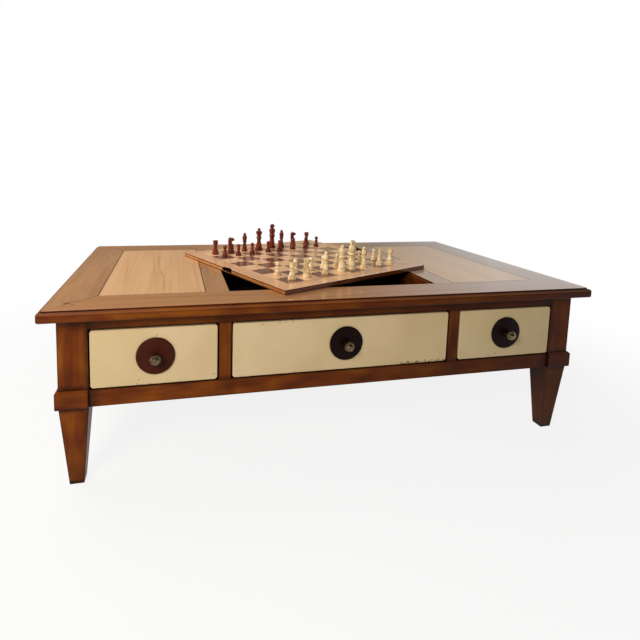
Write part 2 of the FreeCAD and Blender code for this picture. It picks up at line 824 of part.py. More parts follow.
def board():
    return {"board_core": laid(board_core()),
            "board_edging": laid(Part.makeCompound(board_edging())),
            "light_squares": laid(Part.makeCompound(squares(False))),
            "dark_squares": laid(Part.makeCompound(squares(True)))}


nodes = {**carcass(), **top(), **drawers(), **board(),
         **chess_set("light", light_places, 0, 1, turned_knight),
         **chess_set("dark", dark_places, 7, 6)}
os.makedirs("parts", exist_ok=True)
for node_name, node_shape in nodes.items():
    node_shape.exportStep("parts/" + node_name + ".step")
print(len(nodes), "nodes")
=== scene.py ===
import json
import math

import bmesh
import bpy
from mathutils import Matrix, Vector

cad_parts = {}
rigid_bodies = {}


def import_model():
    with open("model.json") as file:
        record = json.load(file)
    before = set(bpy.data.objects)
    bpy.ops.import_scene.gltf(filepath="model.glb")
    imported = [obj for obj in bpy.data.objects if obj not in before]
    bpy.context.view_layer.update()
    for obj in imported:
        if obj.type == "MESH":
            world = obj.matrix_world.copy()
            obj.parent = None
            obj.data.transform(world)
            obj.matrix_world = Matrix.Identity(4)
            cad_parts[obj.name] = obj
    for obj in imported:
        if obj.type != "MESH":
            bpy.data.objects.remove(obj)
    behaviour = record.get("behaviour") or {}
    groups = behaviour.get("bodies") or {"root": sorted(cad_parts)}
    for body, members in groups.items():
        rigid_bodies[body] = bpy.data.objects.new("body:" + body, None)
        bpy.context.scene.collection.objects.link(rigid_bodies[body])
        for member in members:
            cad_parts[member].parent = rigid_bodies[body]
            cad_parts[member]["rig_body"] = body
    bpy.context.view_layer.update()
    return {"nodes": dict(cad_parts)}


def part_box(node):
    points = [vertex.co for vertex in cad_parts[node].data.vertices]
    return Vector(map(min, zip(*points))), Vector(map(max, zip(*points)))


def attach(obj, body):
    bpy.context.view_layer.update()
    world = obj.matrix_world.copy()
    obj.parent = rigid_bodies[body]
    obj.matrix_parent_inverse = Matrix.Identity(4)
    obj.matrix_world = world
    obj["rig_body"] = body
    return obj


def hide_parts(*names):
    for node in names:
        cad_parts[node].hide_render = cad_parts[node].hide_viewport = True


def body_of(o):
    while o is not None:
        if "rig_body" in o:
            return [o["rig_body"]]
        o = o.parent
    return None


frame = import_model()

# --- Camera ---------------------------------------------------------------------------------------
# A hand-held view from the front, left of the middle and a little above the top. The horizon leans
# by a degree and a half, and the frame is cut from a wider one, so the lens is shifted.

camera = bpy.data.objects.new("camera", bpy.data.cameras.new("camera"))
bpy.context.collection.objects.link(camera)
bpy.context.scene.camera = camera
bpy.context.scene.view_settings.view_transform = "Standard"
camera.data.lens = 25.81
camera.data.shift_x = 0.0627
camera.data.shift_y = -0.1633
camera_turn = 0.2274
camera_dip = 0.1094
camera_lean = 0.0248
camera_place = (-0.3620, -1.2089, 0.6405)
ahead = Vector((math.sin(camera_turn) * math.cos(camera_dip),
                math.cos(camera_turn) * math.cos(camera_dip), -math.sin(camera_dip)))
level = Vector((math.cos(camera_turn), -math.sin(camera_turn), 0))
upright = level.cross(ahead)
right = math.cos(camera_lean) * level + math.sin(camera_lean) * upright
up = math.cos(camera_lean) * upright - math.sin(camera_lean) * level
camera.matrix_world = (Matrix.Translation(camera_place)
                       @ Matrix((right, up, -ahead)).transposed().to_4x4())

# --- Legs and their collars -----------------------------------------------------------------------
# Square posts of cherry, tapered on four sides below a chamfered collar glued round the two outer faces.
# The stain was sprayed darker towards every edge and joint, and rubbed thin between them; the darkening
# just under the top and round the collars is painted shade.

def linear(hex_colour):
    """An sRGB hex value as the linear colour that a socket takes."""
    parts = [int(hex_colour[i:i + 2], 16) / 255 for i in (1, 3, 5)]
    return [p / 12.92 if p <= 0.04045 else ((p + 0.055) / 1.055) ** 2.4 for p in parts] + [1]


def join(tree, node, sockets):
    """Sets a node's sockets to values, outputs, or nodes, of which the first live output is taken."""
    for socket, value in sockets.items():
        if isinstance(value, bpy.types.Node):
            value = next(output for output in value.outputs if output.enabled)
        if isinstance(value, bpy.types.NodeSocket):
            tree.links.new(value, node.inputs[socket])
        else:
            node.inputs[socket].default_value = value


def add(tree, kind, sockets=None, stops=None, **settings):
    """Adds a node with its settings and links, and the stops of its colour ramp."""
    made = tree.nodes.new(kind)
    for name, value in settings.items():
        setattr(made, name, value)
    join(tree, made, sockets or {})
    for index, (position, colour) in enumerate(stops or []):
        if index > 1:
            made.color_ramp.elements.new(position)
        made.color_ramp.elements[index].position = position
        made.color_ramp.elements[index].color = linear(colour)
    return made


def new_finish(name):
    """A material, its tree, its shader and the coordinates on the piece that wears it."""
    finish = bpy.data.materials.new(name)
    finish.use_nodes = True
    tree = finish.node_tree
    return finish, tree, tree.nodes["Principled BSDF"], add(tree, "ShaderNodeTexCoord").outputs["Object"]


def along_grain(tree, place, along, width, length):
    """Coordinates on which one unit is the given width across the grain and length along it."""
    scale = [1 / width] * 3
    scale[along] = 1 / length
    return add(tree, "ShaderNodeMapping", {"Vector": place, "Scale": scale})


def grain(tree, place, along, width, length, sockets, **settings):
    """Wood grain as noise, its streaks of the given width and length in metres. Real pores are finer
    than a tenth of a millimetre and would not show, so the finest streaks are drawn 1 to 2.5 mm wide."""
    run = along_grain(tree, place, along, width, length)
    return add(tree, "ShaderNodeTexNoise", {"Vector": run, "Scale": 1, **sockets}, **settings)


def weighed(tree, *parts):
    """The sum of some outputs, each times its weight."""
    total = 0.0
    for output, weight in parts:
        total = add(tree, "ShaderNodeMath", {0: output, 1: weight, 2: total}, operation="MULTIPLY_ADD")
    return total


def deepest(tree, *shades):
    """The deepest of some shades, where 0 is clean and 1 is dark."""
    deep = shades[0]
    for shade in shades[1:]:
        deep = add(tree, "ShaderNodeMath", {0: deep, 1: shade}, operation="MAXIMUM")
    return deep


def joint_shade(tree, place, joints):
    """How dark a band along a joint is: the stain sprayed darker there, and painted shade where a band
    stands for the shade under the top, round the collars and by the gaps. A joint has an axis, a middle, a
    half width, a reach past it and a depth of shade, and is the same on both sides of the table."""
    axes = add(tree, "ShaderNodeSeparateXYZ", {0: place})
    shades = []
    for axis, middle, half, reach, depth in joints:
        away = add(tree, "ShaderNodeMath", {0: axes.outputs[axis]}, operation="ABSOLUTE")
        away = add(tree, "ShaderNodeMath", {0: away, 1: middle}, operation="SUBTRACT")
        away = add(tree, "ShaderNodeMath", {0: away}, operation="ABSOLUTE")
        shades.append(add(tree, "ShaderNodeMapRange", {"Value": away, "From Min": half,
                                                       "From Max": half + reach, "To Min": depth,
                                                       "To Max": 0.0}, interpolation_type="SMOOTHSTEP"))
    return deepest(tree, *shades)


def spatter(tree, place, spacing, share, size, depth):
    """Dots of dark paint flicked from a brush: of cells at the given spacing, that share has one."""
    cells = add(tree, "ShaderNodeTexVoronoi", {"Vector": place, "Scale": 1 / spacing})
    chance = add(tree, "ShaderNodeSeparateColor", {0: cells.outputs["Color"]})
    reach = add(tree, "ShaderNodeMapRange", {"Value": chance, "From Min": 1 - share, "From Max": 1.0,
                                             "To Min": 0.0, "To Max": size / spacing})
    dot = add(tree, "ShaderNodeMath", {0: cells, 1: reach}, operation="LESS_THAN")
    return add(tree, "ShaderNodeMath", {0: dot, 1: depth}, operation="MULTIPLY")


def edge_wear(tree, radius, sharpest):
    """0 further from an edge than the radius, 1 where the surface turns as far as the sharpest."""
    rounded = add(tree, "ShaderNodeBevel", {"Radius": radius}, samples=6)
    flat = add(tree, "ShaderNodeNewGeometry").outputs["Normal"]
    turn = add(tree, "ShaderNodeVectorMath", {0: rounded, 1: flat}, operation="DOT_PRODUCT")
    return add(tree, "ShaderNodeMapRange", {"Value": turn, "From Min": 0.995, "From Max": sharpest,
                                            "To Min": 0.0, "To Max": 1.0})


def hollow_shade(tree, reach, clean, closed, depth, samples=6):
    """Painted shade in corners, creases and between parts, and on the brass also its tarnish: none where
    the clean share of the sky is seen, its full depth where only the closed share is."""
    seen = add(tree, "ShaderNodeAmbientOcclusion", {"Distance": reach}, samples=samples)
    return add(tree, "ShaderNodeMapRange", {"Value": seen.outputs["AO"], "From Min": clean,
                                            "From Max": closed, "To Min": 0.0, "To Max": depth})


def to_the_right(tree, place, start, end, share):
    """0 at the left, growing between two places along the table to the share at the right."""
    axes = add(tree, "ShaderNodeSeparateXYZ", {0: place})
    return add(tree, "ShaderNodeMapRange", {"Value": axes.outputs["X"], "From Min": start,
                                            "From Max": end, "To Min": 0.0, "To Max": share})


def stained_cherry(name, along, joints=(), right_shade_share=0.75, painted_highlight=None, roughness=0.38):
    """Cherry under a red-brown stain and a satin wax: streaky straight grain with orange patches,
    near-black along the edges, painted shade in the corners, darker and browner to the right as painted
    shade where the front lamp's light falls off, a painted highlight along a band if one is given, and a
    few dark dots."""
    finish, tree, shader, place = new_finish(name)
    fibre = grain(tree, place, along, 0.0022, 0.07, {"Detail": 3, "Roughness": 0.6})
    figure = grain(tree, place, along, 0.016, 0.13, {"Detail": 3, "Distortion": 0.7})
    patch = grain(tree, place, along, 0.034, 0.075, {"Detail": 1})
    tone = weighed(tree, (fibre, 0.14), (figure, 0.31), (patch, 0.55))
    wood = add(tree, "ShaderNodeValToRGB", {0: tone},
               stops=[(0.36, "#542409"), (0.46, "#68300c"), (0.54, "#743a0c"), (0.66, "#864b0d")])
    # Painted shade: darker and browner towards the right, where the front lamp's light falls off.
    wood = add(tree, "ShaderNodeMix", {0: to_the_right(tree, place, -0.25, 0.55, right_shade_share), 6: wood,
                                       7: linear("#3a1607")}, data_type="RGBA")
    rim = add(tree, "ShaderNodeMath", {0: edge_wear(tree, 0.005, 0.90), 1: 0.7}, operation="MULTIPLY")
    # The rim is stain worn dark along the edges; the corners get painted shade.
    shades = [rim, hollow_shade(tree, 0.016, 0.92, 0.42, 0.85)]
    if joints:
        cloud = add(tree, "ShaderNodeTexNoise", {"Vector": place, "Scale": 45, "Detail": 2})
        uneven = add(tree, "ShaderNodeMapRange", {"Value": cloud, "From Min": 0.35, "From Max": 0.65,
                                                  "To Min": 0.75, "To Max": 1.1})
        shades.append(add(tree, "ShaderNodeMath", {0: joint_shade(tree, place, joints), 1: uneven},
                          operation="MULTIPLY", use_clamp=True))
    shades.append(spatter(tree, place, 0.022, 0.12, 0.0012, 0.7))
    colour = add(tree, "ShaderNodeMix", {0: deepest(tree, *shades), 6: wood, 7: linear("#1d0b06")},
                 data_type="RGBA")
    # A painted highlight: lighter along the given band, where a round catches the light.
    if painted_highlight:
        colour = add(tree, "ShaderNodeMix", {0: joint_shade(tree, place, [painted_highlight]), 6: colour,
                                             7: linear("#a8744a")}, data_type="RGBA")
    bump = add(tree, "ShaderNodeBump", {"Height": fibre, "Strength": 0.15, "Distance": 0.0004})
    join(tree, shader, {"Base Color": colour, "Normal": bump, "Roughness": roughness,
                        "Specular IOR Level": 0.09})
    return finish


def merged_form(node_name):
    """A copy of a CAD node's triangles with its doubles merged."""
    form = bmesh.new()
    form.from_mesh(frame["nodes"][node_name].data)
    bmesh.ops.remove_doubles(form, verts=form.verts, dist=1e-6)
    return form


def smooth_mesh(name, form, sharp_angle=None):
    """A form as a mesh, shaded smooth but across edges sharper than the angle in degrees."""
    mesh = bpy.data.meshes.new(name)
    form.to_mesh(mesh)
    form.free()
    if "custom_normal" in mesh.attributes:
        mesh.attributes.remove(mesh.attributes["custom_normal"])
    mesh.shade_smooth()
    if sharp_angle:
        mesh.set_sharp_from_angle(angle=math.radians(sharp_angle))
    return mesh


def scene_object(name, data):
    made = bpy.data.objects.new(name, data)
    bpy.context.collection.objects.link(made)
    return made


def takes_place(part, node_name):
    """Puts a part in the place of its CAD node, on the same body, and hides the node."""
    node = frame["nodes"][node_name]
    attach(part, body_of(node)[0])
    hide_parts(node_name)


def eased(name, width, finish, segments=2, side_finish=None):
    """A wooden part with its sharp edges taken off. Where strips of one part meet, the faces between
    them are taken out. A second finish goes on all but the top."""
    form = merged_form(name)
    flattest = math.radians(0.6)
    bmesh.ops.dissolve_limit(form, angle_limit=flattest, verts=form.verts, edges=form.edges)
    inner = [face for face in form.faces if all(len(edge.link_faces) > 2 for edge in face.edges)]
    bmesh.ops.delete(form, geom=inner, context="FACES_ONLY")
    bmesh.ops.dissolve_limit(form, angle_limit=flattest, verts=form.verts, edges=form.edges)
    bmesh.ops.recalc_face_normals(form, faces=form.faces)
    part = scene_object(name + "_eased", smooth_mesh(name + "_eased", form))
    bevel = part.modifiers.new("eased", "BEVEL")
    bevel.width = width
    bevel.segments = segments
    bevel.limit_method = "ANGLE"
    bevel.angle_limit = math.radians(32)
    bevel.harden_normals = True
    made = bpy.data.meshes.new_from_object(part.evaluated_get(bpy.context.evaluated_depsgraph_get()))
    part.modifiers.remove(bevel)
    part.data = made
    made.materials.clear()
    made.materials.append(finish)
    if side_finish:
        made.materials.append(side_finish)
        slack = 0.0002
        top = max(vertex.co.z for vertex in made.vertices) - slack
        for face in made.polygons:
            face.material_index = 0 if face.center.z > top and face.normal.z > 0.9 else 1
    takes_place(part, name)
    return part


top_height = 0.368
# Bands on the posts: painted shade just under the top and above and below the collars, the stain sprayed
# darker beside the drawers, and the feet darker at the bottom.
post_joints = [("Z", top_height, 0.022, 0.015, 0.85), ("Z", 0.1845, 0.0185, 0.014, 0.8),
               ("X", 0.398, 0.125, 0.013, 0.75), ("Z", 0.0, 0.0055, 0.007, 0.97),
               ("Z", 0.0, 0.010, 0.050, 0.35)]
leg_cherry = stained_cherry("stained_cherry_legs", 2, post_joints, right_shade_share=0.6)
# Painted shade on the collars at their inner ends and along their lower edge.
collar_cherry = stained_cherry("stained_cherry_collars", 0, [("X", 0.5205, 0.002, 0.006, 0.8),
                                                            ("Z", 0.166, 0.001, 0.008, 0.6)])
for corner_name in ("front_left", "front_right", "back_left", "back_right"):
    eased("leg_" + corner_name, 0.0012, leg_cherry)
eased("leg_collars", 0.0010, collar_cherry)

# --- Rails, dividers and aprons -------------------------------------------------------------------
# The frame under the top: two front rails and two dividers round the drawers, and plain aprons at
# the ends and the back, all tenoned into the posts and stained with them.

drawer_bottom = 0.200
drawer_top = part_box("left_drawer_front")[1].z
at_end_posts = ("X", 0.5505, 0.0275, 0.035, 0.75)
# Painted shade on the frame just under the overhanging top.
shade_under_top = ("Z", top_height, 0.022, 0.020, 0.8)
# The front rails: stain sprayed darker by the posts and under the dividers, and painted shade along the
# gap over the drawers.
rail_joints = [at_end_posts, ("X", 0.261, 0.010, 0.022, 0.35), ("Z", drawer_top, 0.0015, 0.006, 0.9)]
rail_cherry = stained_cherry("stained_cherry_rails", 0, rail_joints, right_shade_share=0.85)
divider_cherry = stained_cherry("stained_cherry_dividers", 2,
                                [shade_under_top, ("Z", drawer_bottom, 0.002, 0.010, 0.6)])
cherry_deep = stained_cherry("stained_cherry_end_aprons", 1,
                             [("Y", 0.2815, 0.0275, 0.035, 0.75), shade_under_top])
cherry_wide = stained_cherry("stained_cherry_back_apron", 0, [at_end_posts, shade_under_top])
eased("front_top_rail", 0.0008, rail_cherry)
eased("front_bottom_rail", 0.0010, rail_cherry)
eased("drawer_dividers", 0.0008, divider_cherry)
eased("side_aprons", 0.0010, cherry_deep)
eased("back_apron", 0.0010, cherry_wide)

# --- Inner carcass --------------------------------------------------------------------------------
# Partitions, runners, kickers, stops, bearers and corner blocks are planed poplar, left bare, and
# the top is held by four zinc-plated screws through the blocks.

def bare_poplar(name, along, pale="#c7ab7c", deep="#9d7e52"):
    """Unfinished poplar: dull, pale, with faint grey-brown grain and saw marks."""
    finish, tree, shader, place = new_finish(name)
    fibre = grain(tree, place, along, 0.0018, 0.05, {"Detail": 3})
    figure = grain(tree, place, along, 0.014, 0.2, {"Detail": 2, "Distortion": 0.5})
    wood = add(tree, "ShaderNodeValToRGB", {0: weighed(tree, (fibre, 0.5), (figure, 0.5))},
               stops=[(0.36, deep), (0.62, pale)])
    bump = add(tree, "ShaderNodeBump", {"Height": fibre, "Strength": 0.25, "Distance": 0.0004})
    join(tree, shader, {"Base Color": wood, "Normal": bump, "Roughness": 0.68,
                        "Specular IOR Level": 0.3})
    return finish


poplar_deep = bare_poplar("bare_poplar_grain_front_to_back", 1)
poplar_wide = bare_poplar("bare_poplar_grain_along_front", 0)
poplar_upright = bare_poplar("bare_poplar_upright_grain", 2)
for carcass_part, bare in (("partitions", poplar_deep), ("drawer_runners", poplar_deep),
                           ("drawer_kickers", poplar_deep), ("drawer_stops", poplar_wide),
                           ("board_bearers", poplar_wide), ("corner_blocks", poplar_upright)):
    eased(carcass_part, 0.0006, bare)

# Zinc plate on steel: a grey, faintly mottled, dull metal.
zinc, tree, shader, place = new_finish("zinc_plated_steel")
mottle = add(tree, "ShaderNodeTexNoise", {"Vector": place, "Scale": 900, "Detail": 2})
grey = add(tree, "ShaderNodeValToRGB", {0: mottle}, stops=[(0.35, "#8d8f90"), (0.65, "#b4b5b3")])
join(tree, shader, {"Base Color": grey, "Metallic": 1, "Roughness": 0.35})
frame["nodes"]["top_screws"].material_slots[0].material = zinc

# --- Well under the board -------------------------------------------------------------------------
# A shallow box of boards hangs under the opening and carries the board when it is dropped in flush.
# Its walls are stained with the rails, left dull and darkened towards the floor with painted shade, and
# its floor is lined in near-black, painted shade for the dark well under the board.

# The walls darker towards the well's floor: painted shade.
well_cherry = stained_cherry("dull_stained_lining", 0, [("Z", 0.316, 0.006, 0.022, 0.9)], roughness=0.6)
eased("well_walls", 0.0006, well_cherry)

# Matt black on plywood with a faint nap, standing for the shade deep in the well: painted shade.
shade_black_lining, tree, shader, place = new_finish("black_lining_painted_shade")
nap = add(tree, "ShaderNodeTexNoise", {"Vector": place, "Scale": 700, "Detail": 2})
black = add(tree, "ShaderNodeValToRGB", {0: nap}, stops=[(0.35, "#0c0806"), (0.7, "#19110c")])
bump = add(tree, "ShaderNodeBump", {"Height": nap, "Strength": 0.3, "Distance": 0.0003})
join(tree, shader, {"Base Color": black, "Normal": bump, "Roughness": 0.85, "Specular IOR Level": 0.1})
eased("well_floor", 0.0006, shade_black_lining)

# --- Framed top -----------------------------------------------------------------------------------
# Two long and two end members of solid cherry, mitred at the corners, and two cross rails beside
# the opening. The outer edge is moulded: a small step, a quirk, then a round that catches the light.

def streak(tree, place, middle, turn, length, width, depth):
    """A soft lens-shaped mark on the top, as dark as the depth along its middle."""
    own = add(tree, "ShaderNodeMapping", {"Vector": place, "Location": (*middle, 0),
                                          "Rotation": (0, 0, math.radians(turn)),
                                          "Scale": (length, width, 1)}, vector_type="TEXTURE")
    flat = add(tree, "ShaderNodeVectorMath", {0: own, 1: (1, 1, 0)}, operation="MULTIPLY")
    away = add(tree, "ShaderNodeVectorMath", {0: flat}, operation="LENGTH")
    return add(tree, "ShaderNodeMapRange", {"Value": away, "From Min": 0.3, "From Max": 1.0,
                                            "To Min": depth, "To Max": 0.0})


def polished_cherry(name, along, checks=(), tones=("#9c704a", "#a97c53", "#b28559"), right_reflection_tone="#8a7b69"):
    """The same cherry on the top: stained lighter and rubbed to a polish, tan with a pinkish cast, with
    dark lines at its mitres and small drying checks by a knot. Towards the right it turns to a greyer
    tone, a painted reflection of the pale sky."""
    finish, tree, shader, place = new_finish(name)
    fibre = grain(tree, place, along, 0.0024, 0.09, {"Detail": 3, "Roughness": 0.6})
    figure = grain(tree, place, along, 0.026, 0.24, {"Detail": 3, "Distortion": 0.8})
    face = add(tree, "ShaderNodeValToRGB", {0: weighed(tree, (fibre, 0.30), (figure, 0.70))},
               stops=list(zip((0.34, 0.50, 0.66), tones)))
    # Painted reflection: greyer towards the right.
    face = add(tree, "ShaderNodeMix", {0: to_the_right(tree, place, 0.0, 0.35, 0.32), 6: face,
                                       7: linear(right_reflection_tone)}, data_type="RGBA")
    axes = add(tree, "ShaderNodeSeparateXYZ", {0: place})
    past = []
    for axis, inner_corner in (("X", 0.514), ("Y", 0.246)):
        away = add(tree, "ShaderNodeMath", {0: axes.outputs[axis]}, operation="ABSOLUTE")
        past.append(add(tree, "ShaderNodeMath", {0: away, 1: inner_corner}, operation="SUBTRACT"))
    mitre = add(tree, "ShaderNodeMath", {0: past[0], 1: past[1]}, operation="SUBTRACT")
    mitre = add(tree, "ShaderNodeMath", {0: mitre}, operation="ABSOLUTE")
    mitre = add(tree, "ShaderNodeMapRange", {"Value": mitre, "From Min": 0.0006, "From Max": 0.0024,
                                             "To Min": 0.7, "To Max": 0.0})
    open_end = add(tree, "ShaderNodeMapRange", {"Value": past[0], "From Min": 0.030, "From Max": 0.060,
                                                "To Min": 1.0, "To Max": 0.25})
    mitre = add(tree, "ShaderNodeMath", {0: mitre, 1: open_end}, operation="MULTIPLY")
    dark = deepest(tree, mitre, *[streak(tree, place, *check) for check in checks])
    colour = add(tree, "ShaderNodeMix", {0: dark, 6: face, 7: linear("#3a1c10")}, data_type="RGBA")
    bump = add(tree, "ShaderNodeBump", {"Height": fibre, "Strength": 0.06, "Distance": 0.0003})
    join(tree, shader, {"Base Color": colour, "Normal": bump, "Roughness": 0.14})
    return finish


# Painted shade in the step and the quirk of the moulding and along the lower edge of the top's face; the
# crown band is a painted highlight on the round.
moulding_shade_lines = [("Z", 0.3660, 0.0007, 0.0006, 0.6), ("Z", 0.3594, 0.0002, 0.0009, 0.55),
                  ("Z", 0.344, 0.0006, 0.008, 0.25)]
crown_highlight = ("Z", 0.3622, 0.0006, 0.0012, 0.25)
side_wide = stained_cherry("stained_cherry_moulding_along_front", 0, moulding_shade_lines, right_shade_share=0.88,
                           painted_highlight=crown_highlight)
side_deep = stained_cherry("stained_cherry_moulding_front_to_back", 1, moulding_shade_lines, right_shade_share=0.88,
                           painted_highlight=crown_highlight)
knot_checks = [((-0.5635, -0.2875), 20, 0.0075, 0.0060, 0.95),
               ((-0.5640, -0.2950), 62, 0.016, 0.0034, 0.6),
               ((-0.5530, -0.2960), -40, 0.016, 0.0030, 0.55),
               ((-0.5560, -0.2790), 40, 0.024, 0.0026, 0.5)]
back_checks = [((-0.300, 0.256), 8, 0.028, 0.0030, 0.55), ((-0.268, 0.262), -12, 0.016, 0.0022, 0.45)]
lid_wide = polished_cherry("polished_cherry_along_front", 0, knot_checks + back_checks,
                           ("#986942", "#a5744a", "#ae7d50"), "#8f8472")
lid_deep = polished_cherry("polished_cherry_front_to_back", 1, knot_checks)
for side_name, lid, side in (("front", lid_wide, side_wide), ("back", lid_wide, side_wide),
                             ("left", lid_deep, side_deep), ("right", lid_deep, side_deep)):
    eased("top_member_" + side_name, 0.0005, lid, side_finish=side)
lid_rails = polished_cherry("polished_cherry_cross_rails", 1, right_reflection_tone="#d8c8ae")
eased("top_cross_rails", 0.0005, lid_rails, side_finish=side_deep)

# --- Inset panels ---------------------------------------------------------------------------------
# Two loose panels of pale ash lie on ledges inside the frame, their grain running front to back.
# A thin open line is left round them.

def pale_ash(name, seed, board_width, board_contrast):
    """Ash under clear lacquer: pale honey with soft wavy streaks that run front to back, a few of them
    darker, the boards it is glued up from a little apart in tone, and dark glue at its edge. Towards the
    right it is paler and greyer, a painted reflection."""
    finish, tree, shader, place = new_finish(name)
    fibre = grain(tree, place, 1, 0.0022, 0.12, {"Detail": 3})
    figure = grain(tree, place, 1, 0.012, 0.30, {"Detail": 2, "W": seed}, noise_dimensions="4D")
    drift = grain(tree, place, 1, 0.060, 0.24, {"Detail": 1, "W": seed}, noise_dimensions="4D")
    across = add(tree, "ShaderNodeSeparateXYZ", {0: place}).outputs["X"]
    ring_width = 0.016
    rings = add(tree, "ShaderNodeMath", {0: weighed(tree, (across, 1.0), (drift, 0.014)),
                                         1: 2 * math.pi / ring_width}, operation="MULTIPLY")
    rings = add(tree, "ShaderNodeMath", {0: rings}, operation="SINE")
    rings = add(tree, "ShaderNodeMapRange", {"Value": rings, "From Min": 0.1, "From Max": 1.0,
                                             "To Min": 0.0, "To Max": 1.0})
    strong = grain(tree, place, 1, 0.040, 0.9, {"Detail": 1, "W": seed + 9}, noise_dimensions="4D")
    strong = add(tree, "ShaderNodeMapRange", {"Value": strong, "From Min": 0.50, "From Max": 0.64,
                                              "To Min": 0.04, "To Max": 0.32})
    rings = add(tree, "ShaderNodeMath", {0: rings, 1: strong}, operation="MULTIPLY")
    strip = add(tree, "ShaderNodeMath", {0: across, 1: 1 / board_width}, operation="MULTIPLY")
    strip = add(tree, "ShaderNodeMath", {0: strip}, operation="FLOOR")
    own = add(tree, "ShaderNodeTexWhiteNoise", {"W": strip}, noise_dimensions="1D")
    tone = weighed(tree, (figure, 1.0), (fibre, 0.4), (own, board_contrast))
    wood = add(tree, "ShaderNodeValToRGB", {0: tone},
               stops=[(0.48, "#cb9c6c"), (0.74, "#d3a677"), (0.96, "#d9af81")])
    # Painted reflection: paler and greyer towards the right.
    wood = add(tree, "ShaderNodeMix", {0: to_the_right(tree, place, 0.0, 0.35, 0.32), 6: wood,
                                       7: linear("#d6ba94")}, data_type="RGBA")
    flames = [((-0.404, 0.080), 92, 0.120, 0.0040, 0.65), ((-0.393, -0.062), 98, 0.070, 0.0040, 0.65),
              ((-0.3845, -0.170), 91.5, 0.085, 0.0045, 0.60), ((-0.413, 0.010), 92, 0.130, 0.0060, 0.40),
              ((-0.476, -0.060), 93.6, 0.180, 0.0045, 0.40)]
    dark = deepest(tree, rings, *[streak(tree, place, *flame) for flame in flames])
    colour = add(tree, "ShaderNodeMix", {0: dark, 6: wood, 7: linear("#b37f52")}, data_type="RGBA")
    low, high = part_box("inset_panel_right")
    glue = joint_shade(tree, place, [("X", low.x, 0.0010, 0.0012, 0.9),
                                     ("X", high.x, 0.0010, 0.0012, 0.9),
                                     ("Y", high.y, 0.0007, 0.0010, 0.8)])
    colour = add(tree, "ShaderNodeMix", {0: glue, 6: colour, 7: linear("#3f2414")}, data_type="RGBA")
    bump = add(tree, "ShaderNodeBump", {"Height": fibre, "Strength": 0.06, "Distance": 0.0003})
    join(tree, shader, {"Base Color": colour, "Normal": bump, "Roughness": 0.24})
    return finish


panel_side = stained_cherry("stained_panel_edge", 1)
eased("inset_panel_left", 0.0005, pale_ash("pale_ash_left", 1.3, 0.1, 0.0), side_finish=panel_side)
eased("inset_panel_right", 0.0005, pale_ash("pale_ash_right", 4.1, 0.0545, 0.16), side_finish=panel_side)

# --- Drawer fronts --------------------------------------------------------------------------------
# Solid fronts painted cream by spray, with rounded corners. The paint was rubbed through to the
# dark stain in places along the edges, and specked with dark paint to look old.

def rubbed_cream_paint(name, specks):
    """Eggshell cream paint over dark stain, slightly clouded, chipped along the lower edge, with small
    dark specks, and painted shade in its corners and by the gaps round it."""
    finish, tree, shader, place = new_finish(name)
    cloud = add(tree, "ShaderNodeTexNoise", {"Vector": place, "Scale": 11, "Detail": 3})
    paint = add(tree, "ShaderNodeValToRGB", {0: cloud},
                stops=[(0.35, "#d2bb90"), (0.52, "#d6c096"), (0.68, "#dac49e")])
    rub = add(tree, "ShaderNodeTexNoise", {"Vector": place, "Scale": 190, "Detail": 3})
    low = joint_shade(tree, place, [("Z", drawer_bottom, 0.0035, 0.006, 0.22)])
    across = add(tree, "ShaderNodeSeparateXYZ", {0: place}).outputs["X"]
    chipped = add(tree, "ShaderNodeMath", {0: across, 1: 0.190, 2: 0.060}, operation="COMPARE")
    chips = joint_shade(tree, place, [("Z", drawer_bottom, 0.0060, 0.012, 0.47)])
    chips = add(tree, "ShaderNodeMath", {0: chips, 1: chipped}, operation="MULTIPLY")
    rim = edge_wear(tree, 0.0030, 0.86)
    worn = weighed(tree, (rim, 1.0), (rub, 1.0), (deepest(tree, low, chips), 1.0))
    shades = [add(tree, "ShaderNodeMapRange", {"Value": worn, "From Min": 0.92, "From Max": 1.10,
                                               "To Min": 0.0, "To Max": 0.95}),
              spatter(tree, place, 0.020, 0.16, 0.0016, 0.75),
              spatter(tree, place, 0.009, 0.10, 0.0009, 0.45),
              # Painted shade where the front meets the frame and the rosette.
              hollow_shade(tree, 0.006, 0.9, 0.4, 0.5)]
    front = add(tree, "ShaderNodeVectorMath", {0: place, 1: (1, 0, 1)}, operation="MULTIPLY")
    for x, z in specks:
        away = add(tree, "ShaderNodeVectorMath", {0: front, 1: (x, 0, z)}, operation="DISTANCE")
        shades.append(add(tree, "ShaderNodeMapRange", {"Value": away, "From Min": 0.0007,
                                                       "From Max": 0.0020, "To Min": 0.7, "To Max": 0.0}))
    colour = add(tree, "ShaderNodeMix", {0: deepest(tree, *shades), 6: paint, 7: linear("#3a2213")},
                 data_type="RGBA")
    peel = add(tree, "ShaderNodeTexNoise", {"Vector": place, "Scale": 350, "Detail": 1})
    bump = add(tree, "ShaderNodeBump", {"Height": peel, "Strength": 0.08, "Distance": 0.0003})
    join(tree, shader, {"Base Color": colour, "Normal": bump, "Roughness": 0.5,
                        "Specular IOR Level": 0.2})
    return finish


cream = rubbed_cream_paint("rubbed_cream_paint", [(-0.396, 0.304), (-0.430, 0.214), (-0.434, 0.206),
                                                   (-0.409, 0.204), (-0.284, 0.215), (0.356, 0.209),
                                                   (0.375, 0.212), (-0.185, 0.3125), (-0.148, 0.3157),
                                                   (-0.134, 0.3155), (-0.120, 0.3158), (-0.111, 0.2055)])
for place_name in ("left", "middle", "right"):
    eased(place_name + "_drawer_front", 0.0006, cream)

# --- Drawer boxes ---------------------------------------------------------------------------------
# Sides dovetailed into the fronts and backs, all of bare poplar, with bottoms of thin plywood slid
# into grooves.

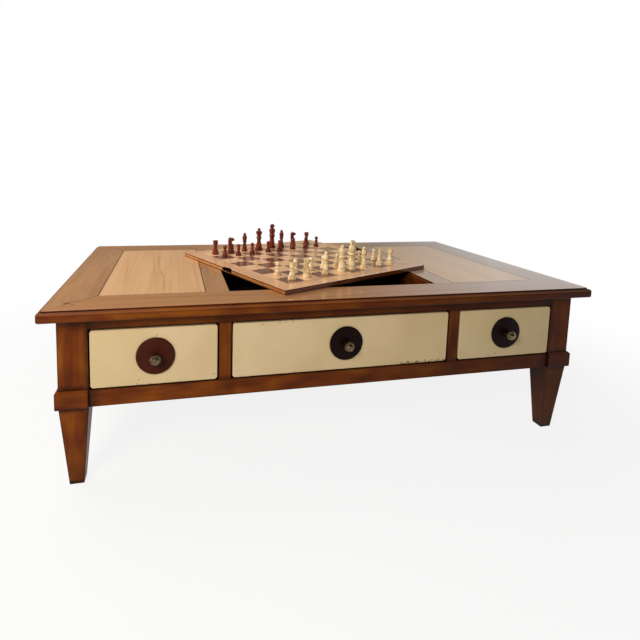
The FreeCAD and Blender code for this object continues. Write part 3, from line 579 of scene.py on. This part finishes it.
for place_name in ("left", "middle", "right"):
    eased(place_name + "_drawer_sides", 0.0005, poplar_deep)
    eased(place_name + "_drawer_back", 0.0005, poplar_wide)
    eased(place_name + "_drawer_bottom", 0.0004, poplar_wide)

# --- Rosettes and knobs ---------------------------------------------------------------------------
# Each drawer has one turned beech rosette, a shallow cone stained oxblood and waxed, and through
# its middle a stem with an aged brass ball.

def turned_piece(name, outline, finish, place_name, node_name, steps=96):
    """Turns an outline of (radius, reach) round the axis of a drawer pull, reach going forwards."""
    low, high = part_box(place_name + "_rosette")
    middle = (low + high) / 2
    form = bmesh.new()
    line = [form.verts.new((middle.x + radius, high.y - reach, middle.z)) for radius, reach in outline]
    edges = [form.edges.new(pair) for pair in zip(line, line[1:])]
    bmesh.ops.spin(form, geom=line + edges, cent=(middle.x, 0, middle.z), axis=(0, 1, 0), steps=steps,
                   angle=2 * math.pi)
    bmesh.ops.remove_doubles(form, verts=form.verts, dist=1e-6)
    bmesh.ops.recalc_face_normals(form, faces=form.faces)
    piece = scene_object(name, smooth_mesh(name, form, sharp_angle=40))
    piece.data.materials.append(finish)
    takes_place(piece, node_name)


def bend(middle, radius, start, end, count):
    """Points on an arc of an outline, from one angle to another in degrees."""
    angles = [math.radians(start + (end - start) * step / count) for step in range(count + 1)]
    return [(middle[0] + radius * math.cos(a), middle[1] + radius * math.sin(a)) for a in angles]


# Beech under an oxblood stain and wax: dark brown-red with short flecks, near black on the drawers
# to the right.
oxblood, tree, shader, place = new_finish("waxed_oxblood_beech")
fleck = grain(tree, place, 0, 0.0012, 0.012, {"Detail": 3})
red = add(tree, "ShaderNodeValToRGB", {0: fleck},
          stops=[(0.36, "#3b180e"), (0.55, "#431b11"), (0.7, "#4a1f14")])
colour = add(tree, "ShaderNodeMix", {0: to_the_right(tree, place, -0.30, -0.10, 0.92), 6: red,
                                     7: linear("#0e0506")}, data_type="RGBA")
bump = add(tree, "ShaderNodeBump", {"Height": fleck, "Strength": 0.1, "Distance": 0.0002})
join(tree, shader, {"Base Color": colour, "Normal": bump, "Roughness": 0.36, "Specular IOR Level": 0.06})

# Cast brass gone brown with age: soft blotches, black in its hollows, a blurred shine.
brass, tree, shader, place = new_finish("aged_brass")
tarnish = add(tree, "ShaderNodeTexNoise", {"Vector": place, "Scale": 240, "Detail": 3})
gold = add(tree, "ShaderNodeValToRGB", {0: tarnish},
           stops=[(0.36, "#453d31"), (0.52, "#695c46"), (0.7, "#8f7a4f")])
# Black in the hollows: tarnish, deepened with painted shade.
colour = add(tree, "ShaderNodeMix", {0: hollow_shade(tree, 0.004, 0.8, 0.3, 0.8), 6: gold,
                                     7: linear("#1a130b")}, data_type="RGBA")
rough = add(tree, "ShaderNodeMapRange", {"Value": tarnish, "From Min": 0.35, "From Max": 0.65,
                                         "To Min": 0.34, "To Max": 0.26})
join(tree, shader, {"Base Color": colour, "Roughness": rough, "Metallic": 1})

rosette_outline = [(0.0026, 0.0), (0.0366, 0.0), *bend((0.0366, 0.0007), 0.0007, -90, 0, 4),
                   *bend((0.0361, 0.0018), 0.0012, 0, 84, 8), (0.0342, 0.00318), (0.0085, 0.0054),
                   *bend((0.0080, 0.0047), 0.0008, 60, 90, 3), (0.0026, 0.0055)]
knob_outline = [(0.0, -0.014), (0.0025, -0.014), (0.0025, 0.0055),
                *bend((0.0064, 0.0061), 0.0006, -90, 90, 8), (0.0040, 0.0069),
                *bend((0.0, 0.0180), 0.0118, -70, 90, 40)]
for place_name in ("left", "middle", "right"):
    turned_piece(place_name + "_turned_rosette", rosette_outline, oxblood, place_name,
                 place_name + "_rosette")
    turned_piece(place_name + "_brass_knob", knob_outline, brass, place_name, place_name + "_knob",
                 steps=64)

# --- Chess board ----------------------------------------------------------------------------------
# A core board with 64 squares of two woods glued on, 50 mm each, inside a wide mitred border of
# plain beech. It lies lifted out of its opening and turned across the top.

board_turn = math.radians(24.2)
board_middle = Vector((-0.0145, 0.0225, top_height))
board_half = 0.240
board_thickness = 0.011
square = 0.050
tile_thickness = 0.002


def board_place(tree, place):
    """Coordinates measured from the middle of the board, along its own sides."""
    return add(tree, "ShaderNodeMapping", {"Vector": place, "Location": board_middle,
                                           "Rotation": (0, 0, board_turn)}, vector_type="TEXTURE")


def board_square(name, pale, body, deep):
    """Squares cut from thick veneer: every one has its own tone and grain. Polished hard."""
    finish, tree, shader, place = new_finish(name)
    place = board_place(tree, place)
    own = add(tree, "ShaderNodeAttribute", attribute_name="tone", attribute_type="GEOMETRY")
    shifted = add(tree, "ShaderNodeVectorMath", {0: own.outputs["Vector"], 1: (7, 3, 0), 2: place},
                  operation="MULTIPLY_ADD")
    fibre = grain(tree, shifted, 1, 0.0016, 0.03, {"Detail": 3})
    figure = grain(tree, shifted, 1, 0.010, 0.08, {"Detail": 2})
    tone = weighed(tree, (fibre, 1.0), (figure, 1.0), (own.outputs["Fac"], 0.35))
    wood = add(tree, "ShaderNodeValToRGB", {0: tone}, stops=[(0.85, deep), (1.15, body), (1.4, pale)])
    join(tree, shader, {"Base Color": wood, "Roughness": 0.08})
    return finish


def tile_tree(finish):
    """Lays every other square of a chess board, each with a tone of its own."""
    tree = bpy.data.node_groups.new(finish.name + "_laid", "GeometryNodeTree")
    tree.is_modifier = True
    tree.interface.new_socket("Geometry", in_out="OUTPUT", socket_type="NodeSocketGeometry")
    for name, kind, value in (("Square", "NodeSocketFloat", square), ("Count", "NodeSocketInt", 8),
                              ("Thickness", "NodeSocketFloat", tile_thickness),
                              ("Parity", "NodeSocketInt", 0)):
        tree.interface.new_socket(name, in_out="INPUT", socket_type=kind).default_value = value
    given = add(tree, "NodeGroupInput").outputs
    gaps = add(tree, "ShaderNodeMath", {0: given["Count"], 1: 1}, operation="SUBTRACT")
    span = add(tree, "ShaderNodeMath", {0: gaps, 1: given["Square"]}, operation="MULTIPLY")
    grid = add(tree, "GeometryNodeMeshGrid", {"Size X": span, "Size Y": span, "Vertices X": given["Count"],
                                              "Vertices Y": given["Count"]})
    index = add(tree, "GeometryNodeInputIndex")
    column = add(tree, "ShaderNodeMath", {0: index, 1: given["Count"]}, operation="DIVIDE")
    column = add(tree, "ShaderNodeMath", {0: column}, operation="FLOOR")
    parity = add(tree, "ShaderNodeMath", {0: column, 1: index}, operation="ADD")
    parity = add(tree, "ShaderNodeMath", {0: parity, 1: given["Parity"]}, operation="ADD")
    parity = add(tree, "ShaderNodeMath", {0: parity, 1: 2}, operation="MODULO")
    chosen = add(tree, "ShaderNodeMath", {0: parity, 1: 0.5}, operation="LESS_THAN")
    tile_size = add(tree, "ShaderNodeCombineXYZ", {0: given["Square"], 1: given["Square"],
                                                   2: given["Thickness"]})
    tile = add(tree, "GeometryNodeMeshCube", {"Size": tile_size})
    laid = add(tree, "GeometryNodeInstanceOnPoints", {"Points": grid, "Selection": chosen,
                                                      "Instance": tile})
    tone = add(tree, "FunctionNodeRandomValue", {"ID": index, "Seed": 7}, data_type="FLOAT_VECTOR")
    toned = add(tree, "GeometryNodeStoreNamedAttribute", {"Geometry": laid, "Name": "tone", "Value": tone},
                data_type="FLOAT_VECTOR", domain="INSTANCE")
    drop = add(tree, "ShaderNodeMath", {0: given["Thickness"], 1: -0.5}, operation="MULTIPLY")
    drop = add(tree, "ShaderNodeMath", {0: drop, 1: board_middle.z + board_thickness}, operation="ADD")
    rest = add(tree, "ShaderNodeCombineXYZ", {0: board_middle.x, 1: board_middle.y, 2: drop})
    turned = add(tree, "GeometryNodeTransform", {"Geometry": toned, "Translation": rest,
                                                 "Rotation": (0, 0, board_turn)})
    real = add(tree, "GeometryNodeRealizeInstances", {"Geometry": turned})
    done = add(tree, "GeometryNodeSetMaterial", {"Geometry": real, "Material": finish})
    add(tree, "NodeGroupOutput", {"Geometry": done})
    return tree


def made_by(name, tree, inputs):
    """The plain mesh object that a geometry tree makes, with its inputs set by their names."""
    maker = scene_object(name, bpy.data.meshes.new(name))
    modifier = maker.modifiers.new("made", "NODES")
    modifier.node_group = tree
    for item in tree.interface.items_tree:
        if item.in_out == "INPUT" and item.name in inputs:
            modifier[item.identifier] = inputs[item.name]
    depsgraph = bpy.context.evaluated_depsgraph_get()
    made = bpy.data.meshes.new_from_object(maker.evaluated_get(depsgraph), preserve_all_data_layers=True,
                                           depsgraph=depsgraph)
    maker.modifiers.remove(modifier)
    maker.data = made
    return maker


beech = board_square("polished_beech_squares", "#edbe92", "#dfab7f", "#cc9870")
walnut = board_square("polished_walnut_squares", "#7d5242", "#6b4335", "#553228")
for node_name, finish, parity in (("dark_squares", walnut, 0), ("light_squares", beech, 1)):
    takes_place(made_by(node_name + "_laid", tile_tree(finish), {"Parity": parity}), node_name)

# Beech border, polished hard: pinkish and even on top, its end sides painted orange as if lit and its long
# sides painted dark brown as if in shade, with a fine dark line at the mitres and along the upper edge,
# and painted shade along the lower edge where it rests on the top.
border, tree, shader, place = new_finish("polished_beech_border")
place = board_place(tree, place)
axes = add(tree, "ShaderNodeSeparateXYZ", {0: place})
wide = add(tree, "ShaderNodeMath", {0: axes.outputs["X"]}, operation="ABSOLUTE")
deep = add(tree, "ShaderNodeMath", {0: axes.outputs["Y"]}, operation="ABSOLUTE")
at_side = add(tree, "ShaderNodeMath", {0: wide, 1: deep}, operation="GREATER_THAN")
run = add(tree, "ShaderNodeMix", {0: at_side, 4: along_grain(tree, place, 0, 0.0020, 0.06),
                                  5: along_grain(tree, place, 1, 0.0020, 0.06)}, data_type="VECTOR")
fibre = add(tree, "ShaderNodeTexNoise", {"Vector": run, "Scale": 1, "Detail": 3})
run = add(tree, "ShaderNodeMix", {0: at_side, 4: along_grain(tree, place, 0, 0.016, 0.2),
                                  5: along_grain(tree, place, 1, 0.016, 0.2)}, data_type="VECTOR")
figure = add(tree, "ShaderNodeTexNoise", {"Vector": run, "Scale": 1, "Detail": 2})
tone = add(tree, "ShaderNodeMath", {0: fibre, 1: figure}, operation="ADD")
face = add(tree, "ShaderNodeValToRGB", {0: tone},
           stops=[(0.75, "#dfa67b"), (1.0, "#e9b184"), (1.25, "#f0bb8d")])
# Painted light and shade: the end sides lit orange, the long sides shaded dark brown.
lit_end_side = add(tree, "ShaderNodeValToRGB", {0: tone},
               stops=[(0.75, "#965629"), (1.0, "#b4713a"), (1.25, "#c6874b")])
shaded_long_side = add(tree, "ShaderNodeValToRGB", {0: tone},
                stops=[(0.75, "#45200f"), (1.0, "#5a2a13"), (1.25, "#6b3519")])
side = add(tree, "ShaderNodeMix", {0: at_side, 6: shaded_long_side, 7: lit_end_side}, data_type="RGBA")
seam = add(tree, "ShaderNodeMath", {0: wide, 1: deep}, operation="SUBTRACT")
seam = add(tree, "ShaderNodeMath", {0: seam}, operation="ABSOLUTE")
seam = add(tree, "ShaderNodeMapRange", {"Value": seam, "From Min": 0.0003, "From Max": 0.0012,
                                        "To Min": 0.45, "To Max": 0.0})
face = add(tree, "ShaderNodeMix", {0: seam, 6: face, 7: linear("#5a3018")}, data_type="RGBA")
on_top = add(tree, "ShaderNodeMapRange", {"Value": axes.outputs["Z"], "From Min": 0.0104,
                                          "From Max": 0.0108, "To Min": 0.0, "To Max": 1.0})
colour = add(tree, "ShaderNodeMix", {0: on_top, 6: side, 7: face}, data_type="RGBA")
# A dark line along the upper arris, and painted shade along the lower edge where the board rests on the
# top.
arris_line_and_contact_shade = joint_shade(tree, place, [("Z", 0.0095, 0.0009, 0.0008, 0.85), ("Z", 0.0, 0.0012, 0.0018, 0.85)])
colour = add(tree, "ShaderNodeMix", {0: arris_line_and_contact_shade, 6: colour, 7: linear("#2a140b")}, data_type="RGBA")
join(tree, shader, {"Base Color": colour, "Roughness": 0.09})

# Near-black stain inside the two finger notches, unpolished, made that dark as painted shade for their
# deep insides.
notch_shade_stain, tree, shader, place = new_finish("dull_black_stain_and_painted_shade_in_notches")
fibre = add(tree, "ShaderNodeTexNoise", {"Vector": board_place(tree, place), "Scale": 400, "Detail": 2})
black = add(tree, "ShaderNodeValToRGB", {0: fibre}, stops=[(0.35, "#080404"), (0.7, "#150a07")])
join(tree, shader, {"Base Color": black, "Roughness": 0.85, "Specular IOR Level": 0.05})
edging = eased("board_edging", 0.0004, border, side_finish=notch_shade_stain)
flat_on = Matrix.Rotation(-board_turn, 4, "Z") @ Matrix.Translation(-board_middle)
clear_of_edge = 0.0006
for face in edging.data.polygons:
    here = flat_on @ face.center
    inside = max(abs(here.x), abs(here.y)) < board_half - 2 * clear_of_edge
    between = clear_of_edge < here.z < board_thickness - clear_of_edge
    face.material_index = 1 if inside and between else 0
eased("board_core", 0.0004, poplar_wide)

# --- Chessmen -------------------------------------------------------------------------------------
# Two sets of sixteen, turned from boxwood and from a red stained wood, and waxed, with deep grooves
# over the plinth and the bead. The knights' heads are carved by hand and glued into turned feet.

def turned_wood(name, pale, body, deep, shine):
    """Hard close-grained wood, turned and waxed: fine upright grain, a soft shine, and painted shade in
    its grooves.
    """
    finish, tree, shader, place = new_finish(name)
    fibre = grain(tree, place, 2, 0.0011, 0.02, {"Detail": 3})
    figure = grain(tree, place, 2, 0.006, 0.04, {"Detail": 2})
    wood = add(tree, "ShaderNodeValToRGB", {0: weighed(tree, (fibre, 0.5), (figure, 0.5))},
               stops=[(0.36, deep), (0.5, body), (0.66, pale)])
    # Painted shade in the grooves and under the collars.
    colour = add(tree, "ShaderNodeMix", {0: hollow_shade(tree, 0.004, 0.85, 0.4, 0.85, samples=4),
                                         6: wood, 7: linear(deep)}, data_type="RGBA")
    join(tree, shader, {"Base Color": colour, "Roughness": 0.26, "Specular IOR Level": shine})
    return finish


boxwood = turned_wood("waxed_boxwood", "#f7ebc6", "#f1deac", "#b27d3a", 0.5)
red_wood = turned_wood("waxed_red_stained_wood", "#96381f", "#722814", "#361009", 0.35)


def cut_grooves(form, foot):
    """Deepens the grooves over the plinth and the bead of men that share a foot radius."""
    slack = 0.0002
    waiting = set(form.verts)
    while waiting:
        edge_of_search = [waiting.pop()]
        man = list(edge_of_search)
        while edge_of_search:
            for edge in edge_of_search.pop().link_edges:
                for vertex in edge.verts:
                    if vertex in waiting:
                        waiting.remove(vertex)
                        man.append(vertex)
                        edge_of_search.append(vertex)
        axis = Vector([(min(v.co[i] for v in man) + max(v.co[i] for v in man)) / 2 for i in (0, 1)])
        for vertex in man:
            out = vertex.co.xy - axis
            level = vertex.co.z - board_middle.z - board_thickness
            for height, rim, depth in ((0.46, 0.90, 0.11), (0.78, 0.82, 0.15)):
                if abs(level - foot * height) < slack and foot * 0.5 < out.length < foot * rim:
                    vertex.co.xy = axis + out * (1 - depth)


def turned_men(node_name, form, finish):
    """Puts a form in the place of a CAD node, smooth but for its sharp edges."""
    men = scene_object(node_name + "_turned", smooth_mesh(node_name + "_turned", form, sharp_angle=38))
    men.data.materials.clear()
    men.data.materials.append(finish)
    takes_place(men, node_name)


for colour_name, finish in (("light", boxwood), ("dark", red_wood)):
    for kind, foot in (("pawns", 0.0086), ("rooks", 0.0100), ("bishops", 0.0092), ("queen", 0.0113),
                       ("king", 0.0114)):
        form = merged_form(f"{colour_name}_{kind}")
        cut_grooves(form, foot)
        turned_men(f"{colour_name}_{kind}", form, finish)

knight_height = 0.047
knight_foot = 0.0100
knight_seat = 0.27 * knight_height
lock_count = 15


def tube(form, ribs, around=28):
    """A closed skin over ellipses in the XZ plane's run: each has x, z, half depth, half width."""
    loops = []
    for index, (x, z, depth, width) in enumerate(ribs):
        before, after = ribs[max(index - 1, 0)], ribs[min(index + 1, len(ribs) - 1)]
        run = Vector((after[0] - before[0], 0, after[1] - before[1])).normalized()
        out = Vector((run.z, 0, -run.x))
        loop = []
        for step in range(around):
            angle = 2 * math.pi * step / around
            loop.append(form.verts.new(Vector((x, 0, z)) + out * depth * math.cos(angle)
                                       + Vector((0, width * math.sin(angle), 0))))
        loops.append(loop)
    for below, above in zip(loops, loops[1:]):
        for step in range(around):
            following = (step + 1) % around
            form.faces.new((below[step], below[following], above[following], above[step]))
    form.faces.new(list(reversed(loops[0])))
    form.faces.new(loops[-1])


def horse_head():
    """A carved horse's head that looks along +X, for a knight one unit high."""
    form = bmesh.new()
    tube(form, [(0.00, 0.24, 0.150, 0.140), (0.005, 0.32, 0.168, 0.138), (0.006, 0.39, 0.176, 0.130),
                (-0.018, 0.47, 0.160, 0.120), (-0.048, 0.54, 0.134, 0.110), (-0.070, 0.61, 0.114, 0.102),
                (-0.066, 0.68, 0.120, 0.098), (-0.058, 0.74, 0.128, 0.100), (-0.040, 0.80, 0.134, 0.102),
                (-0.005, 0.835, 0.118, 0.098), (0.045, 0.836, 0.108, 0.086), (0.095, 0.820, 0.102, 0.077),
                (0.140, 0.806, 0.100, 0.070), (0.178, 0.797, 0.090, 0.063), (0.203, 0.792, 0.070, 0.050),
                (0.218, 0.790, 0.040, 0.030)])
    locks = []
    for step in range(lock_count):
        share = step / (lock_count - 1)
        x = -0.166 - 0.016 * math.sin(share * math.pi) - 0.008 * (step % 2)
        locks.append((x + 0.030 * (1 - share), 0.32 + 0.60 * share, 0.038 + 0.008 * (step % 2), 0.042))
    tube(form, locks, 16)
    for side in (-1, 1):
        ear = bmesh.ops.create_cone(form, cap_ends=True, segments=12, radius1=0.038, radius2=0.007,
                                    depth=0.13)["verts"]
        bmesh.ops.transform(form, verts=ear, matrix=Matrix.Translation((-0.078, side * 0.046, 0.945))
                            @ Matrix.Rotation(side * -0.20, 4, "X") @ Matrix.Rotation(-0.15, 4, "Y"))
        cheek = bmesh.ops.create_uvsphere(form, u_segments=20, v_segments=12, radius=0.080)["verts"]
        bmesh.ops.transform(form, verts=cheek, matrix=Matrix.Translation((-0.005, side * 0.046, 0.785))
                            @ Matrix.Diagonal((1.1, 0.75, 1.0, 1)))
        brow = bmesh.ops.create_uvsphere(form, u_segments=16, v_segments=10, radius=0.030)["verts"]
        bmesh.ops.transform(form, verts=brow, matrix=Matrix.Translation((0.050, side * 0.076, 0.902)))
        nostril = bmesh.ops.create_uvsphere(form, u_segments=16, v_segments=10, radius=0.028)["verts"]
        bmesh.ops.transform(form, verts=nostril, matrix=Matrix.Translation((0.190, side * 0.045, 0.838)))
    bmesh.ops.recalc_face_normals(form, faces=form.faces)
    rough = bpy.data.meshes.new("horse_head")
    form.to_mesh(rough)
    form.free()
    carving = scene_object("horse_head", rough)
    skin = carving.modifiers.new("skin", "REMESH")
    skin.mode = "VOXEL"
    skin.voxel_size = 0.010
    soft = carving.modifiers.new("soft", "SMOOTH")
    soft.iterations = 3
    soft.factor = 0.5
    depsgraph = bpy.context.evaluated_depsgraph_get()
    carved = bpy.data.meshes.new_from_object(carving.evaluated_get(depsgraph))
    bpy.data.objects.remove(carving)
    cuts = [((0.240, 0.742), (0.130, 0.752), 0.010, 0.022),
            ((-0.105, 0.38), (-0.130, 0.88), 0.010, 0.014)]
    for vertex in carved.vertices:
        here = Vector((vertex.co.x, vertex.co.z))
        for start, end, reach, depth in cuts:
            start, end = Vector(start), Vector(end)
            share = max(0.0, min(1.0, (here - start).dot(end - start) / (end - start).length_squared))
            away = (here - start.lerp(end, share)).length
            if away < reach * 2:
                vertex.co -= vertex.normal * depth * 0.5 * (1 + math.cos(math.pi * away / (reach * 2)))
        for x, z, reach, depth in ((0.058, 0.882, 0.014, 0.012), (0.204, 0.838, 0.011, 0.014)):
            away = (here - Vector((x, z))).length
            if away < reach and abs(vertex.co.y) > 0.02:
                vertex.co.y -= math.copysign(depth * (1 - away / reach), vertex.co.y)
        if vertex.co.x < -0.09 + 0.02 * math.sin(here.y * 9):
            vertex.co += vertex.normal * 0.007 * math.sin(here.y * 62 + here.x * 45)
    return carved


head_mesh = horse_head()
for colour_name, finish, places in (("light", boxwood, ((1, 0, 0), (6.15, 0, 44))),
                                    ("dark", red_wood, ((1.05, 7, 0), (5.75, 7, 0)))):
    node_name = colour_name + "_knights"
    form = merged_form(node_name)
    cut_grooves(form, knight_foot)
    hair = 0.00005
    cut_height = board_middle.z + board_thickness + knight_seat - hair
    bmesh.ops.bisect_plane(form, geom=form.verts[:] + form.edges[:] + form.faces[:], clear_outer=True,
                           plane_co=(0, 0, cut_height), plane_no=(0, 0, 1))
    bmesh.ops.holes_fill(form, edges=[edge for edge in form.edges if edge.is_boundary])
    for column, row, turn in places:
        stand = (Matrix.Translation(board_middle + Vector((0, 0, board_thickness)))
                 @ Matrix.Rotation(board_turn, 4, "Z")
                 @ Matrix.Translation(((column - 3.5) * square, (row - 3.5) * square, 0))
                 @ Matrix.Rotation(math.radians(turn), 4, "Z") @ Matrix.Scale(knight_height, 4))
        head = head_mesh.copy()
        head.transform(stand)
        form.from_mesh(head)
    turned_men(node_name, form, finish)

# --- Floor and light ------------------------------------------------------------------------------
# A pale floor that fades to white, a large soft lamp at the front left and a softer one above. Only
# gloss sees the three cards: a dull one behind, a dim one in front, and a low bright one that gives
# the front lamp's glint, since gloss doesn't see that lamp.

def lamp(name, place, target, size, watts, colour):
    light = bpy.data.lights.new(name, "AREA")
    light.shape = "DISK"
    light.size = size
    light.energy = watts
    light.color = colour
    made = scene_object(name, light)
    made.location = place
    made.rotation_euler = (Vector(target) - Vector(place)).to_track_quat("-Z", "Y").to_euler()
    return made


lamp("key", (-1.15, -1.55, 1.25), (-0.2, -0.2, 0.25), 0.7, 28, (1.0, 0.93, 0.84)).visible_glossy = False
lamp("overhead", (-1.05, 0.30, 1.55), (-0.3, 0.0, 0.37), 1.1, 19, (1.0, 0.96, 0.92))


def looked_at(tree):
    """1 for what the camera, gloss and glass see, 0 for what lights the object."""
    ray = add(tree, "ShaderNodeLightPath")
    seen = ray.outputs["Is Camera Ray"]
    for kind in ("Is Glossy Ray", "Is Transmission Ray"):
        seen = add(tree, "ShaderNodeMath", {0: seen, 1: ray.outputs[kind]}, operation="MAXIMUM")
    return seen


sky = bpy.context.scene.world or bpy.data.worlds.new("studio")
bpy.context.scene.world = sky
sky.use_nodes = True
tree = sky.node_tree
tree.nodes.clear()
white = add(tree, "ShaderNodeBackground", {"Color": (1, 1, 1, 1), "Strength": 1.0})
dim = add(tree, "ShaderNodeBackground", {"Color": linear("#e6e9ee"), "Strength": 0.14})
blend = add(tree, "ShaderNodeMixShader", {0: looked_at(tree), 1: dim, 2: white})
add(tree, "ShaderNodeOutputWorld", {"Surface": blend})

floor_finish, tree, shader, place = new_finish("painted_studio_floor")
tree.nodes.remove(shader)
far = add(tree, "ShaderNodeVectorMath", {0: place}, operation="LENGTH")
far = add(tree, "ShaderNodeMapRange", {"Value": far, "From Min": 0.6, "From Max": 1.6,
                                       "To Min": 0.86, "To Max": 1.0}, interpolation_type="SMOOTHSTEP")
share = add(tree, "ShaderNodeMath", {0: looked_at(tree), 1: far}, operation="MULTIPLY")
lit = add(tree, "ShaderNodeBsdfDiffuse", {"Color": linear("#d8d8d6")})
glow = add(tree, "ShaderNodeEmission", {"Color": (1, 1, 1, 1), "Strength": 1.0})
blend = add(tree, "ShaderNodeMixShader", {0: share, 1: lit, 2: glow})
join(tree, tree.nodes["Material Output"], {"Surface": blend})


def sheet_of(name, corners, finish):
    mesh = bpy.data.meshes.new(name)
    mesh.from_pydata(corners, [], [(0, 1, 2, 3)])
    mesh.materials.append(finish)
    made = scene_object(name, mesh)
    return made


sheet_of("floor", [(-7, -7, 0), (7, -7, 0), (7, 7, 0), (-7, 7, 0)], floor_finish)


def reflection_card(name, corners, hex_colour, strength, fade_from=3.0, fade_to=4.0, low_light=0.0):
    """A board that only polished surfaces see, clear past a line across it, and warmer and lighter
    low down by the share of low light."""
    finish, tree, shader, place = new_finish(name + "_finish")
    tree.nodes.remove(shader)
    axes = add(tree, "ShaderNodeSeparateXYZ", {0: place})
    fade = add(tree, "ShaderNodeMapRange", {"Value": axes.outputs["X"], "From Min": fade_from,
                                            "From Max": fade_to, "To Min": 0.0, "To Max": 1.0},
               interpolation_type="SMOOTHSTEP")
    inward = add(tree, "ShaderNodeMapRange", {"Value": axes.outputs["X"], "From Min": -0.25,
                                              "From Max": 0.15, "To Min": 0.0, "To Max": 1.0})
    below = add(tree, "ShaderNodeMapRange", {"Value": axes.outputs["Z"], "From Min": 0.98,
                                             "From Max": 0.72, "To Min": 0.0, "To Max": low_light},
                interpolation_type="SMOOTHSTEP")
    outward = add(tree, "ShaderNodeMapRange", {"Value": axes.outputs["X"], "From Min": 0.75,
                                               "From Max": 1.2, "To Min": 1.0, "To Max": 0.0})
    below = add(tree, "ShaderNodeMath", {0: below, 1: inward}, operation="MULTIPLY")
    below = add(tree, "ShaderNodeMath", {0: below, 1: outward}, operation="MULTIPLY")
    warmed = add(tree, "ShaderNodeMix", {0: below, 6: linear(hex_colour), 7: linear("#eed0a6")},
                 data_type="RGBA")
    dull = add(tree, "ShaderNodeEmission", {"Color": warmed, "Strength": strength})
    clear = add(tree, "ShaderNodeBsdfTransparent")
    blend = add(tree, "ShaderNodeMixShader", {0: fade, 1: dull, 2: clear})
    join(tree, tree.nodes["Material Output"], {"Surface": blend})
    card = sheet_of(name, corners, finish)
    card.visible_camera = card.visible_diffuse = False
    card.visible_shadow = card.visible_transmission = False


reflection_card("card_behind", [(-5, 2.2, 0), (2.3, 2.2, 0), (2.3, 2.2, 3.5), (-5, 2.2, 3.5)],
                "#8f8678", 0.75, 0.6, 2.7, low_light=1.0)
reflection_card("card_in_front", [(-4, -2.8, 0.15), (4, -2.8, 0.15), (4, -2.8, 4), (-4, -2.8, 4)],
                "#6a5646", 0.20)
reflection_card("lamp_glint", [(-0.95, -1.6, 0.30), (-0.45, -1.6, 0.30), (-0.45, -1.6, 0.62),
                               (-0.95, -1.6, 0.62)], "#ffe6c4", 9.0)
